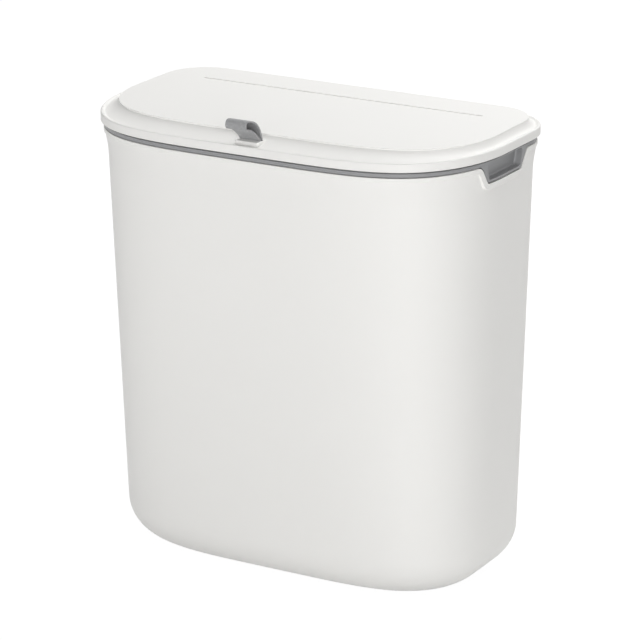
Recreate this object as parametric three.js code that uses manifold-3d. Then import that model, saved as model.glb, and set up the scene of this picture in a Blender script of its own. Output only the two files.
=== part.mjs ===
// A lidded kitchen waste bin of about ten litres. A grey bag ring sits in the mouth of a tapered
// white body, and a white lid with a strap pull tab is hinged to the back of the ring.
// Millimetres, +Z up, the front faces -Y. While the pieces are made, y = 0 is the front of the rim
// and z = 0 is the floor. The finished group is moved so that its origin lies on the floor under
// the middle of the overall box.

import * as THREE from 'three';
import { mergeVertices } from 'three/addons/utils/BufferGeometryUtils.js';
import Module from 'manifold-3d';

const wasm = await Module();
wasm.setup();

// ---------------------------------------------------------------------------
// Driving dimensions
// ---------------------------------------------------------------------------

// Plan of the lid's rim, the widest outline
const rimWidth = 290;
const rimDepth = 167;
const frontSweep = 88;
const sweepPower = 4.5;
const rearCornerRadius = 38;

// Body shell
const bodyHeight = 299;
const bodyWall = 2;
const lidOverhang = 1.8;
const flareOut = 2.9;
const flareHeight = 20.8;
const rimBandHeight = 3;
const rimEdge = 0.5;
const baseWidth = 270;
const baseDepth = 127;
const baseSetBack = 23.5;
const baseSweep = 65.3;
const baseRearCornerRadius = 24.8;
const baseFillet = 30.5;
const footCornerRadius = 9;
const baseThickness = 3.2;
const footWidth = 5;
const footHeight = 1.4;

// Notches for the ring's finger pockets, one in each side wall of the body
const notchMiddle = 92.7;
const notchTopLength = 60.4;
const notchBottomLength = 45.4;
const notchDepth = 11.8;
const notchTopRadius = 5;
const notchBottomRadius = 3.5;
const notchShoulder = 2;
const notchLipWidth = 3.5;
const notchLipProud = 2.1;

// Bag ring
const ringSeatGap = 0.3;
const ringLipHeight = 3.5;
const ringLipStep = 0.4;
const ringOpeningInset = 9.6;
const ringWall = 1.6;
const ringSkirtDepth = 20;
const ringEdge = 0.5;
const pocketGap = 0.4;
const pocketOverlap = 0.7;
const pocketFaceStep = 0.3;
const pocketRecess = 5.5;
const pocketFloor = 2.1;
const pocketTopBand = 1.9;
const pocketTopLength = 48.6;
const pocketBottomLength = 42.4;
const pocketRadius = 3;
const pocketWall = 1.8;

// Lid
const lidGap = 0.8;
const lidRimHeight = 5.8;
const lidRimWidth = 2;
const lidRimEdge = 0.7;
const lidFloor = 5.2;
const lidWall = 2;
const plateRise = 4.7;
const plateFrontInset = 19.3;
const plateSideInset = 8;
const plateRearInset = 8;
const plateEdge = 0.4;
const plateDrop = 1;
const channelWidth = 1.2;
const coveTurn = 60;
const lidSkirtGap = 0.8;
const lidSkirtWall = 1.4;
const lidSkirtHeight = 3;
const skirtRoot = 2;
const grooveLength = 214;
const grooveFromFront = 128.5;
const grooveWidth = 1;
const grooveDepth = 0.6;

// Hinge
const hingeSpacing = 150;
const hingeBehindRim = 1;
const hingeAboveRing = 1.5;
const barrelRadius = 3.5;
const barrelLength = 14;
const barrelWebDepth = 2.6;
const earThickness = 5;
const earSideGap = 0.4;
const earRootDepth = 6;
const earRootDrop = 0.1;
const heelReach = 5.5;
const heelBelowAxis = 0.1;
const heelThickness = 3.2;
const heelChamfer = 1;
const swingGap = 0.4;
const hingePinRadius = 1.5;
const pinChamfer = 0.3;
const hingeBoreGap = 0.28;
const earBlindWall = 1.4;
const pinEndGap = 0.3;

// Pull tab, its slot and its fastening
const slotFromFront = 12;
const pedestalWidth = 21.5;
const pedestalLedge = 3.2;
const pedestalRise = 0.4;
const pedestalRoot = 0.5;
const pedestalTail = 2;
const pedestalCornerRadius = 2.6;
const strapWidth = 15.4;
const strapThickness = 1.1;
const strapLegGap = 0.5;
const strapRollRadius = 2.75;
const strapReach = 17.2;
const strapRise = 15;
const rollTopTurn = 80;
const rollBottomTurn = -100;
const rearBandLean = 2.3;
const rearBandLift = 10.7;
const rearBandCrown = 11.4;
const frontBandLean = 0.6;
const frontBandLift = 2.7;
const frontBandCrown = 7.8;
const wrapTurn = 15;
const wrapShoulderOut = 1.65;
const wrapShoulderUp = 1.2;
const wrapNeckDrop = 0.6;
const slotGap = 0.35;
const slotDepth = 1;
const tabPinRadius = 1.1;
const tabPinLength = 18.4;
const tabPinGap = 0.3;
const tabPinLift = 3.4;
const keeperLength = 37.6;
const keeperDepth = 8;
const keeperThickness = 1.6;
const keeperCornerRadius = 1.5;
const keeperGap = 0.3;
const keeperSideGap = 0.5;
const keeperScrewSpacing = 30;
const screwRadius = 1.2;
const screwHeadRadius = 2.3;
const screwHeadHeight = 1.3;
const screwHeadEdge = 0.65;
const screwDimpleRadius = 0.9;
const screwDimpleDepth = 0.5;
const screwPointRadius = 0.4;
const screwLength = 3;
const screwGap = 0.3;

// Rubber bumpers under the lid
const bumperRadius = 2.6;
const bumperThickness = 1;
const bumperRecess = 0.8;
const bumperGap = 0.3;
const bumperInset = 5.2;
const bumperSpacingFront = 150;
const bumperSpacingRear = 196;

// How far a cutting shape reaches past the surface it opens
const overcut = 1;

// Steps along round stretches
const sweepSteps = 36;
const rearCornerSteps = 7;
const filletSteps = 6;
const flareSteps = 4;
const coveSteps = 5;
const circleSteps = 20;

// ---------------------------------------------------------------------------
// Heights and places that follow from them
// ---------------------------------------------------------------------------

const neckZ = bodyHeight - rimBandHeight - flareHeight;
const ringBottomZ = bodyHeight + ringSeatGap;
const ringTopZ = ringBottomZ + ringLipHeight;
const ringSkirtZ = ringBottomZ - ringSkirtDepth;
const notchBottomZ = bodyHeight - notchDepth;
const ringLipInset = lidOverhang + ringLipStep;
const lidBottomZ = ringTopZ + lidGap;
const lidRimZ = lidBottomZ + lidRimHeight;
const lidFloorZ = lidBottomZ + lidFloor;
const plateZ = lidRimZ + plateRise;
const hingeY = rimDepth + hingeBehindRim;
const hingeZ = ringTopZ + hingeAboveRing;
const ledgeZ = lidRimZ + pedestalRise;
const tabPinZ = lidBottomZ + tabPinLift;
const lidSkirtInset = ringOpeningInset + lidSkirtGap;
const lidHollowInset = lidSkirtInset + lidSkirtWall;
const keeperY = lidSkirtInset + keeperDepth / 2;
const keeperTopZ = lidBottomZ - keeperGap;

// ---------------------------------------------------------------------------
// Plans and lofted shells
// ---------------------------------------------------------------------------

// A plan is a rounded D: a superellipse sweeps across the front, the sides run straight from the
// waist, and the rear corners are round.
const rimPlan = {
  half: rimWidth / 2,
  front: 0,
  back: rimDepth,
  sweep: frontSweep,
  rear: rearCornerRadius,
};
const basePlan = {
  half: baseWidth / 2,
  front: baseSetBack,
  back: baseSetBack + baseDepth,
  sweep: baseSweep,
  rear: baseRearCornerRadius,
};
const neckPlan = shrink(rimPlan, lidOverhang + flareOut);

/** The plan moved inwards, by the same amount all round unless the side or back is given. */
function shrink(plan, front, side = front, back = front) {
  return {
    half: plan.half - side,
    front: plan.front + front,
    back: plan.back - back,
    sweep: plan.sweep - front,
    rear: Math.max(plan.rear - (side + back) / 2, 1.5),
  };
}

/** The plan that lies the given part of the way from one plan to another. */
function between(first, second, part) {
  const mixed = {};
  for (const key of Object.keys(first)) {
    mixed[key] = first[key] + (second[key] - first[key]) * part;
  }
  return mixed;
}

/** Points of a plan, anticlockwise from the left waist round the front. */
function outline(plan) {
  const points = [];
  const waist = plan.front + plan.sweep;
  for (let i = 0; i <= sweepSteps; i += 1) {
    const angle = (Math.PI * i) / sweepSteps;
    const across = -Math.cos(angle);
    const x = plan.half * Math.sign(across) * Math.abs(across) ** (2 / sweepPower);
    points.push([x, waist - plan.sweep * Math.sin(angle)]);
  }
  for (const side of [1, -1]) {
    for (let i = 0; i <= rearCornerSteps; i += 1) {
      const turn = (Math.PI / 2) * (i / rearCornerSteps);
      const angle = side > 0 ? turn : Math.PI / 2 + turn;
      const x = side * (plan.half - plan.rear) + plan.rear * Math.cos(angle);
      points.push([x, plan.back - plan.rear + plan.rear * Math.sin(angle)]);
    }
  }
  return points;
}

/**
 * A skin over a list of { plan, z } levels. A skin that isn't closed on itself gets a flat cap over
 * its first and last level. Levels run up the outside and down the inside.
 */
function loft(levels, closed) {
  const positions = [];
  const triangles = [];
  const count = outline(rimPlan).length;
  for (const level of levels) {
    for (const [x, y] of outline(level.plan)) {
      positions.push(x, y, level.z);
    }
  }
  const spans = closed ? levels.length : levels.length - 1;
  for (let i = 0; i < spans; i += 1) {
    const low = i * count;
    const high = ((i + 1) % levels.length) * count;
    for (let j = 0; j < count; j += 1) {
      const next = (j + 1) % count;
      triangles.push(low + j, low + next, high + next);
      triangles.push(low + j, high + next, high + j);
    }
  }
  if (!closed) {
    addCap(positions, triangles, levels[0], 0, count, true);
    addCap(positions, triangles, levels[levels.length - 1], spans * count, count, false);
  }
  const geometry = new THREE.BufferGeometry();
  geometry.setAttribute('position', new THREE.Float32BufferAttribute(positions, 3));
  geometry.setIndex(triangles);
  return geometry;
}

/** A fan of triangles over one level, facing down or up. */
function addCap(positions, triangles, level, start, count, facesDown) {
  const centre = positions.length / 3;
  positions.push(0, level.plan.front + level.plan.sweep, level.z);
  for (let j = 0; j < count; j += 1) {
    const next = (j + 1) % count;
    const pair = facesDown ? [next, j] : [j, next];
    triangles.push(centre, start + pair[0], start + pair[1]);
  }
}

// ---------------------------------------------------------------------------
// Solids
// ---------------------------------------------------------------------------

/** A closed geometry as a manifold solid. */
function solid(geometry) {
  const bare = geometry.clone();
  bare.deleteAttribute('normal');
  bare.deleteAttribute('uv');
  const merged = mergeVertices(bare, 1e-4);
  const vertProperties = Float32Array.from(merged.getAttribute('position').array);
  const triVerts = Uint32Array.from(merged.getIndex().array);
  return new wasm.Manifold(new wasm.Mesh({ numProp: 3, vertProperties, triVerts }));
}

/** A manifold solid as a geometry with flat-shaded faces. */
function geometryOf(body) {
  const mesh = body.getMesh();
  const geometry = new THREE.BufferGeometry();
  geometry.setAttribute('position', new THREE.BufferAttribute(mesh.vertProperties, 3));
  geometry.setIndex(new THREE.BufferAttribute(mesh.triVerts, 1));
  const flat = geometry.toNonIndexed();
  flat.computeVertexNormals();
  return flat;
}

/** Joins any number of solids. */
function join(first, ...others) {
  return others.reduce((whole, piece) => whole.add(piece), first);
}

/** A shape through the given corners, each with its own rounding. Corners are [x, y, radius]. */
function roundedShape(corners) {
  const shape = new THREE.Shape();
  corners.forEach(([x, y, radius = 0], i) => {
    const corner = new THREE.Vector2(x, y);
    const before = new THREE.Vector2(...corners[(i + corners.length - 1) % corners.length]);
    const after = new THREE.Vector2(...corners[(i + 1) % corners.length]);
    const into = before.sub(corner).setLength(Math.max(radius, 1e-6)).add(corner);
    const outOf = after.sub(corner).setLength(Math.max(radius, 1e-6)).add(corner);
    if (i === 0) {
      shape.moveTo(into.x, into.y);
    } else {
      shape.lineTo(into.x, into.y);
    }
    if (radius > 0) {
      shape.quadraticCurveTo(x, y, outOf.x, outOf.y);
    }
  });
  shape.closePath();
  return shape;
}

/** A shape drawn in (y, z), pushed along X from one place to another. */
function prismAlongX(shape, fromX, toX, curveSegments = 5) {
  const settings = { depth: toX - fromX, bevelEnabled: false, curveSegments };
  const geometry = new THREE.ExtrudeGeometry(shape, settings);
  const turn = new THREE.Matrix4().makeBasis(
    new THREE.Vector3(0, 1, 0),
    new THREE.Vector3(0, 0, 1),
    new THREE.Vector3(1, 0, 0),
  );
  return solid(geometry.applyMatrix4(turn).translate(fromX, 0, 0));
}

/** A shape drawn in (x, y), pushed up from one height to another. */
function prismAlongZ(shape, fromZ, toZ, curveSegments = 5) {
  const settings = { depth: toZ - fromZ, bevelEnabled: false, curveSegments };
  return solid(new THREE.ExtrudeGeometry(shape, settings).translate(0, 0, fromZ));
}

/** A round bar along X. */
function barAlongX(radius, fromX, toX, y, z) {
  const length = toX - fromX;
  const geometry = new THREE.CylinderGeometry(radius, radius, length, circleSteps);
  return solid(geometry.rotateZ(Math.PI / 2).translate(fromX + length / 2, y, z));
}

/** A round bar along Z. */
function barAlongZ(radius, fromZ, toZ, x, y) {
  const length = toZ - fromZ;
  const geometry = new THREE.CylinderGeometry(radius, radius, length, circleSteps);
  return solid(geometry.rotateX(Math.PI / 2).translate(x, y, fromZ + length / 2));
}

/** A box between two corners. */
function box(fromX, toX, fromY, toY, fromZ, toZ) {
  const geometry = new THREE.BoxGeometry(toX - fromX, toY - fromY, toZ - fromZ);
  geometry.translate((fromX + toX) / 2, (fromY + toY) / 2, (fromZ + toZ) / 2);
  return solid(geometry);
}

// ---------------------------------------------------------------------------
// Body
// ---------------------------------------------------------------------------

/** The body's outer plan at a height between the floor and the neck. */
function bodyPlan(z) {
  return between(basePlan, neckPlan, z / neckZ);
}

/** The plan inside the body's outer plan, with rear corners that stay round under the fillet. */
function bottomPlan(z, inset) {
  const wall = bodyPlan(z);
  const part = inset / baseFillet;
  return { ...shrink(wall, inset), rear: wall.rear + (footCornerRadius - wall.rear) * part };
}

/** Levels round the bottom fillet, outside or inside the wall. */
function filletLevels(thickness, floorZ) {
  const radius = baseFillet - thickness;
  const levels = [];
  for (let i = 0; i <= filletSteps; i += 1) {
    const angle = (Math.PI / 2) * (i / filletSteps);
    const z = floorZ + radius * (1 - Math.cos(angle));
    levels.push({ plan: bottomPlan(z, thickness + radius * (1 - Math.sin(angle))), z });
  }
  return levels;
}

/** Levels of the flare from the neck out to the rim, outside or inside the wall. */
function flareLevels(thickness) {
  const levels = [];
  for (let i = 0; i <= flareSteps; i += 1) {
    const part = i / flareSteps;
    const plan = shrink(rimPlan, lidOverhang + flareOut * (1 - part ** 2) + thickness);
    levels.push({ plan, z: neckZ + flareHeight * part });
  }
  return levels;
}

/** Outline of a side notch in (y, z), grown outwards, and opening past the rim above. */
function notchShape(grow, topZ) {
  const lean = (notchTopLength - notchBottomLength) / 2 / notchDepth;
  const slant = Math.hypot(1, lean);
  const top = notchTopLength / 2 + grow * slant;
  const bottom = notchBottomLength / 2 + grow * (slant - lean);
  const shoulder = top + notchTopRadius + notchShoulder;
  const shoulderZ = bodyHeight - Math.min(grow, 0);
  const topRadius = Math.max(notchTopRadius - grow, 1);
  const bottomRadius = notchBottomRadius + grow;
  const bottomZ = notchBottomZ - grow;
  const half = [
    [bottom, bottomZ, bottomRadius],
    [top, shoulderZ, topRadius],
    [shoulder, shoulderZ],
    [shoulder, topZ],
  ];
  const right = half.map(([y, z, radius]) => [notchMiddle + y, z, radius]);
  const left = half.map(([y, z, radius]) => [notchMiddle - y, z, radius]).reverse();
  return roundedShape([...left, ...right]);
}

/** How far inside the lid's rim the face of the lip round a notch lies, at a height. */
function lipFaceInset(z) {
  const drop = (bodyHeight - rimBandHeight - z) / (notchDepth + notchLipWidth - rimBandHeight);
  return lidOverhang + Math.max(drop, 0) * (flareOut - notchLipProud);
}

function binBody() {
  const recess = bottomPlan(0, baseFillet + footWidth);
  const inside = flareLevels(bodyWall).reverse();
  const shell = loft([
    { plan: recess, z: footHeight },
    { plan: recess, z: 0 },
    ...filletLevels(0, 0),
    ...flareLevels(0),
    { plan: shrink(rimPlan, lidOverhang), z: bodyHeight - rimEdge },
    { plan: shrink(rimPlan, lidOverhang + rimEdge), z: bodyHeight },
    { plan: shrink(rimPlan, lidOverhang + bodyWall), z: bodyHeight },
    ...inside,
    ...filletLevels(bodyWall, baseThickness).reverse(),
  ], false);

  // The lip stands round each notch, from the rim band down to the wall below the notch
  const lipBottomZ = notchBottomZ - notchLipWidth - overcut;
  const lipInner = lidOverhang + bodyWall;
  const rows = [lipBottomZ, bodyHeight - rimBandHeight, bodyHeight - rimEdge];
  const lipSkin = loft([
    ...rows.map((z) => ({ plan: shrink(rimPlan, lipFaceInset(z)), z })),
    { plan: shrink(rimPlan, lidOverhang + rimEdge), z: bodyHeight },
    { plan: shrink(rimPlan, lipInner), z: bodyHeight },
    { plan: shrink(rimPlan, lipInner), z: bodyHeight - rimBandHeight },
    { plan: shrink(rimPlan, lidOverhang + flareOut + bodyWall / 2), z: lipBottomZ },
  ], true);
  const reach = rimWidth / 2 + overcut;
  const topZ = bodyHeight + overcut;
  const lip = solid(lipSkin).intersect(prismAlongX(notchShape(notchLipWidth, topZ), -reach, reach));
  const notch = prismAlongX(notchShape(0, topZ), -reach, reach);
  return solid(shell).add(lip).subtract(notch);
}

// ---------------------------------------------------------------------------
// Bag ring
// ---------------------------------------------------------------------------

/** Outline in (y, z) of the finger recess in a pocket's face. */
function recessShape() {
  const bottomZ = notchBottomZ + pocketGap + pocketFloor;
  const topZ = ringTopZ - pocketTopBand;
  return roundedShape([
    [notchMiddle - pocketBottomLength / 2, bottomZ, pocketRadius],
    [notchMiddle + pocketBottomLength / 2, bottomZ, pocketRadius],
    [notchMiddle + pocketTopLength / 2, topZ, pocketRadius],
    [notchMiddle - pocketTopLength / 2, topZ, pocketRadius],
  ]);
}

/** A band that follows the rim between two depths inside the face of the notch lips. */
function pocketBand(outer, inner, bottomZ, topZ) {
  const rows = [bottomZ, bodyHeight - rimBandHeight, topZ];
  const outside = rows.map((z) => ({ plan: shrink(rimPlan, lipFaceInset(z) + outer), z }));
  const inside = [topZ, bottomZ].map((z) => ({ plan: shrink(rimPlan, inner), z }));
  return solid(loft([...outside, ...inside], true));
}

/** One ear of a hinge with its stop heel, in (y, z). */
function earShape() {
  const shape = new THREE.Shape();
  const heelZ = hingeZ - heelBelowAxis;
  const rootTopZ = ringTopZ - earRootDrop;
  const noseAngle = Math.PI + Math.asin((hingeZ - rootTopZ) / barrelRadius);
  shape.moveTo(hingeY - earRootDepth, ringBottomZ);
  shape.lineTo(hingeY + heelReach - heelChamfer, ringBottomZ);
  shape.lineTo(hingeY + heelReach, heelZ - heelThickness + heelChamfer);
  shape.lineTo(hingeY + heelReach, heelZ);
  shape.lineTo(hingeY + barrelRadius, heelZ);
  shape.absarc(hingeY, hingeZ, barrelRadius, 0, noseAngle, false);
  shape.lineTo(hingeY - earRootDepth, rootTopZ);
  shape.closePath();
  return shape;
}

/** Where each hinge stands, and which way is inboard. */
const hingeSets = [-1, 1].map((side) => ({ x: (side * hingeSpacing) / 2, inboard: -side }));

/** The span of an ear along X: the one on the inboard side or on the outboard side. */
function earSpan(set, isInboard) {
  const way = isInboard ? set.inboard : -set.inboard;
  const near = set.x + way * (barrelLength / 2 + earSideGap);
  const far = near + way * earThickness;
  return [Math.min(near, far), Math.max(near, far)];
}

/** The span of a hinge pin along X, from the inboard ear's face to the blind bore's end. */
function pinSpan(set) {
  const reach = barrelLength / 2 + earSideGap + earThickness;
  const inboardEnd = set.x + set.inboard * reach;
  const outboardEnd = set.x - set.inboard * (reach - earBlindWall - pinEndGap);
  return [Math.min(inboardEnd, outboardEnd), Math.max(inboardEnd, outboardEnd)];
}

/** A hinge's bore: open at the inboard face, blind in the outboard ear. */
function hingeBore(set) {
  const [low, high] = pinSpan(set);
  const from = set.inboard > 0 ? low - pinEndGap : low - overcut;
  const to = set.inboard > 0 ? high + overcut : high + pinEndGap;
  return barAlongX(hingePinRadius + hingeBoreGap, from, to, hingeY, hingeZ);
}

function bagRing() {
  const skirtOuter = ringOpeningInset - ringWall;
  const lip = solid(loft([
    { plan: shrink(rimPlan, ringOpeningInset), z: ringSkirtZ + ringEdge },
    { plan: shrink(rimPlan, ringOpeningInset - ringEdge), z: ringSkirtZ },
    { plan: shrink(rimPlan, skirtOuter + ringEdge), z: ringSkirtZ },
    { plan: shrink(rimPlan, skirtOuter), z: ringSkirtZ + ringEdge },
    { plan: shrink(rimPlan, skirtOuter), z: ringBottomZ },
    { plan: shrink(rimPlan, ringLipInset + ringEdge), z: ringBottomZ },
    { plan: shrink(rimPlan, ringLipInset), z: ringBottomZ + ringEdge },
    { plan: shrink(rimPlan, ringLipInset), z: ringTopZ - ringEdge },
    { plan: shrink(rimPlan, ringLipInset + ringEdge), z: ringTopZ },
    { plan: shrink(rimPlan, ringOpeningInset - ringEdge), z: ringTopZ },
    { plan: shrink(rimPlan, ringOpeningInset), z: ringTopZ - ringEdge },
  ], true));

  // Each finger pocket fills a notch of the body, with a recess in its face
  const reach = rimWidth / 2 + overcut;
  const faceInset = ringLipStep + pocketFaceStep;
  const recessInset = lidOverhang + faceInset + pocketRecess;
  const lowZ = notchBottomZ + pocketGap - overcut;
  const bandTopZ = ringBottomZ + pocketOverlap;
  const block = pocketBand(faceInset, recessInset + pocketWall, lowZ, bandTopZ);
  const housing = block.intersect(prismAlongX(notchShape(-pocketGap, bandTopZ + overcut), -reach, reach));
  const cavity = pocketBand(-overcut, recessInset, lowZ, ringTopZ)
    .intersect(prismAlongX(recessShape(), -reach, reach));
  const bagSpace = solid(loft([
    { plan: shrink(rimPlan, ringOpeningInset), z: ringSkirtZ - overcut },
    { plan: shrink(rimPlan, ringOpeningInset), z: ringTopZ + overcut },
  ], false));

  let ring = join(lip, housing).subtract(cavity).subtract(bagSpace);
  for (const set of hingeSets) {
    const halfBarrel = barrelLength / 2 + earSideGap;
    const swept = barAlongX(barrelRadius + swingGap, set.x - halfBarrel, set.x + halfBarrel, hingeY, hingeZ);
    ring = ring.subtract(swept);
    for (const isInboard of [true, false]) {
      ring = ring.add(prismAlongX(earShape(), ...earSpan(set, isInboard), circleSteps));
    }
    ring = ring.subtract(hingeBore(set));
  }
  return ring;
}

// ---------------------------------------------------------------------------
// Lid
// ---------------------------------------------------------------------------

/** The raised plate's plan, moved inwards by the given amount. */
function platePlan(extra) {
  return shrink(rimPlan, plateFrontInset + extra, plateSideInset + extra, plateRearInset + extra);
}

/** Levels of the cove, from the foot at the rim's channel up to the edge of the plate. */
function coveLevels() {
  const footPlan = shrink(rimPlan, lidRimWidth + channelWidth);
  const topZ = plateZ - plateDrop;
  const lastAngle = THREE.MathUtils.degToRad(coveTurn);
  const levels = [];
  for (let i = 0; i <= coveSteps; i += 1) {
    const angle = lastAngle * (i / coveSteps);
    const plan = between(footPlan, platePlan(0), Math.sin(angle) / Math.sin(lastAngle));
    const rise = (1 - Math.cos(angle)) / (1 - Math.cos(lastAngle));
    levels.push({ plan, z: lidFloorZ + (topZ - lidFloorZ) * rise });
  }
  return levels;
}

/** Rounded block in front of the plate that the strap comes out of. */
function pedestal() {
  const half = pedestalWidth / 2;
  const front = slotFromFront - strapLegGap / 2 - strapThickness - pedestalLedge;
  const back = plateFrontInset + pedestalTail;
  return prismAlongZ(roundedShape([
    [-half, front, pedestalCornerRadius],
    [half, front, pedestalCornerRadius],
    [half, back],
    [-half, back],
  ]), lidFloorZ - pedestalRoot, ledgeZ);
}

/** Slot through the top of the pedestal for the strap's two legs. */
function strapSlot() {
  const half = strapWidth / 2 + slotGap;
  const deep = strapLegGap / 2 + strapThickness + slotGap;
  return box(-half, half, slotFromFront - deep, slotFromFront + deep, tabPinZ, ledgeZ + overcut);
}

/** Room under the slot for the strap's loop round its pin, and the pin's own seat. */
function strapWell() {
  const half = strapWidth / 2 + slotGap;
  const loop = tabPinRadius + tabPinGap + strapThickness + slotGap;
  const topZ = ledgeZ - slotDepth;
  const well = box(-half, half, slotFromFront - loop, slotFromFront + loop, lidBottomZ - overcut, topZ);
  const seatRadius = tabPinRadius + tabPinGap;
  const seatHalf = tabPinLength / 2 + tabPinGap;
  const seat = barAlongX(seatRadius, -seatHalf, seatHalf, slotFromFront, tabPinZ);
  const way = box(
    -seatHalf, seatHalf, slotFromFront - seatRadius, slotFromFront + seatRadius,
    lidBottomZ - overcut, tabPinZ,
  );
  return join(well, seat, way);
}

/** The keeper's outline seen from above, grown by a gap all round. */
function keeperShape(gap) {
  const half = keeperLength / 2 + gap;
  const deep = keeperDepth / 2 + gap;
  return roundedShape([
    [-half, keeperY - deep, keeperCornerRadius],
    [half, keeperY - deep, keeperCornerRadius],
    [half, keeperY + deep, keeperCornerRadius],
    [-half, keeperY + deep, keeperCornerRadius],
  ]);
}

/** Middles of the four bumpers, on the flat underside just inside the rim. */
function bumperPlaces() {
  const places = [];
  for (const side of [-1, 1]) {
    places.push({ x: (side * bumperSpacingRear) / 2, y: rimDepth - bumperInset });
    places.push({ x: (side * bumperSpacingFront) / 2, y: bumperFrontY() });
  }
  return places;
}

/** Front bumpers follow the sweep of the front. */
function bumperFrontY() {
  const part = (bumperSpacingFront / 2 / (rimWidth / 2 - bumperInset)) ** sweepPower;
  return frontSweep - (frontSweep - bumperInset) * Math.sqrt(1 - part);
}

function lidShell() {
  const edgeMiddle = lidRimEdge * (1 - Math.SQRT1_2);
  const hollowFront = Math.max(plateFrontInset + lidWall, lidHollowInset);
  const hollowSide = Math.max(plateSideInset + lidWall, lidHollowInset);
  const hollowRear = Math.max(plateRearInset + lidWall, lidHollowInset);
  const hollow = shrink(rimPlan, hollowFront, hollowSide, hollowRear);
  const hollowTopZ = plateZ - lidWall;
  const shell = solid(loft([
    { plan: shrink(hollow, lidWall), z: hollowTopZ },
    { plan: hollow, z: hollowTopZ - lidWall },
    { plan: hollow, z: lidBottomZ },
    { plan: shrink(rimPlan, lidRimEdge), z: lidBottomZ },
    { plan: rimPlan, z: lidBottomZ + lidRimEdge },
    { plan: rimPlan, z: lidRimZ - lidRimEdge },
    { plan: shrink(rimPlan, edgeMiddle), z: lidRimZ - edgeMiddle },
    { plan: shrink(rimPlan, lidRimEdge), z: lidRimZ },
    { plan: shrink(rimPlan, lidRimWidth), z: lidRimZ },
    ...coveLevels(),
    { plan: platePlan(0), z: plateZ - plateEdge },
    { plan: platePlan(plateEdge), z: plateZ },
  ], false));
  const skirtBottomZ = lidBottomZ - lidSkirtHeight;
  const keeperRoom = prismAlongZ(keeperShape(keeperSideGap), skirtBottomZ - overcut, lidBottomZ);
  const skirt = solid(loft([
    { plan: shrink(rimPlan, lidHollowInset), z: skirtBottomZ },
    { plan: shrink(rimPlan, lidSkirtInset), z: skirtBottomZ },
    { plan: shrink(rimPlan, lidSkirtInset), z: lidBottomZ + skirtRoot },
    { plan: shrink(rimPlan, lidHollowInset), z: lidBottomZ + skirtRoot },
  ], true)).subtract(keeperRoom);

  let lid = join(shell, skirt, pedestal()).subtract(strapWell()).subtract(strapSlot());
  for (const side of [-1, 1]) {
    const x = (side * keeperScrewSpacing) / 2;
    const radius = screwRadius + screwGap;
    const fromZ = lidBottomZ - overcut;
    lid = lid.subtract(barAlongZ(radius, fromZ, lidBottomZ + screwLength, x, keeperY));
  }
  for (const { x, y } of bumperPlaces()) {
    const radius = bumperRadius + bumperGap;
    lid = lid.subtract(barAlongZ(radius, lidBottomZ - overcut, lidBottomZ + bumperRecess, x, y));
  }
  const grooveHalf = grooveLength / 2;
  const groove = box(
    -grooveHalf, grooveHalf, grooveFromFront - grooveWidth / 2, grooveFromFront + grooveWidth / 2,
    plateZ - grooveDepth, plateZ + overcut,
  );
  lid = lid.subtract(groove);

  for (const set of hingeSets) {
    for (const isInboard of [true, false]) {
      const [low, high] = earSpan(set, isInboard);
      const swing = barrelRadius + swingGap;
      lid = lid.subtract(barAlongX(swing, low - earSideGap, high + earSideGap, hingeY, hingeZ));
    }
    const half = barrelLength / 2;
    const web = box(
      set.x - half, set.x + half, rimDepth - barrelWebDepth, hingeY, hingeZ, hingeZ + barrelRadius,
    );
    const barrel = barAlongX(barrelRadius, set.x - half, set.x + half, hingeY, hingeZ);
    lid = join(lid, web, barrel).subtract(hingeBore(set));
  }
  return lid;
}

// ---------------------------------------------------------------------------
// Small pieces
// ---------------------------------------------------------------------------

/** Middle line of the strap in (y, z): round its pin, up through the slot and over in a loop. */
function strapLine() {
  const line = new THREE.Path();
  const wrap = tabPinRadius + tabPinGap + strapThickness / 2;
  const wrapEnd = THREE.MathUtils.degToRad(wrapTurn);
  const shoulderZ = tabPinZ + wrapShoulderUp;
  const leg = (strapLegGap + strapThickness) / 2;
  const frontLeg = slotFromFront - leg;
  const rearLeg = slotFromFront + leg;
  const neck = ledgeZ - slotDepth;
  const roll = new THREE.Vector2(slotFromFront - strapReach, ledgeZ + strapRise);
  const rollTop = THREE.MathUtils.degToRad(rollTopTurn);
  const rollBottom = THREE.MathUtils.degToRad(rollBottomTurn);
  const onRoll = (angle) => new THREE.Vector2(
    roll.x + strapRollRadius * Math.cos(angle),
    roll.y + strapRollRadius * Math.sin(angle),
  );
  const top = onRoll(rollTop);
  const bottom = onRoll(rollBottom);

  line.absarc(slotFromFront, tabPinZ, wrap, Math.PI - wrapEnd, wrapEnd, false);
  line.bezierCurveTo(
    slotFromFront + wrapShoulderOut, shoulderZ, rearLeg, neck - wrapNeckDrop, rearLeg, neck,
  );
  line.lineTo(rearLeg, ledgeZ);
  line.bezierCurveTo(
    rearLeg - rearBandLean, ledgeZ + rearBandLift,
    top.x + rearBandCrown * Math.sin(rollTop), top.y - rearBandCrown * Math.cos(rollTop),
    top.x, top.y,
  );
  line.absarc(roll.x, roll.y, strapRollRadius, rollTop, rollBottom + Math.PI * 2, false);
  line.bezierCurveTo(
    bottom.x - frontBandCrown * Math.sin(rollBottom), bottom.y + frontBandCrown * Math.cos(rollBottom),
    frontLeg - frontBandLean, ledgeZ + frontBandLift,
    frontLeg, ledgeZ,
  );
  line.lineTo(frontLeg, neck);
  line.bezierCurveTo(
    frontLeg, neck - wrapNeckDrop, slotFromFront - wrapShoulderOut, shoulderZ,
    slotFromFront - wrap * Math.cos(wrapEnd), tabPinZ + wrap * Math.sin(wrapEnd),
  );
  return line;
}

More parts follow.
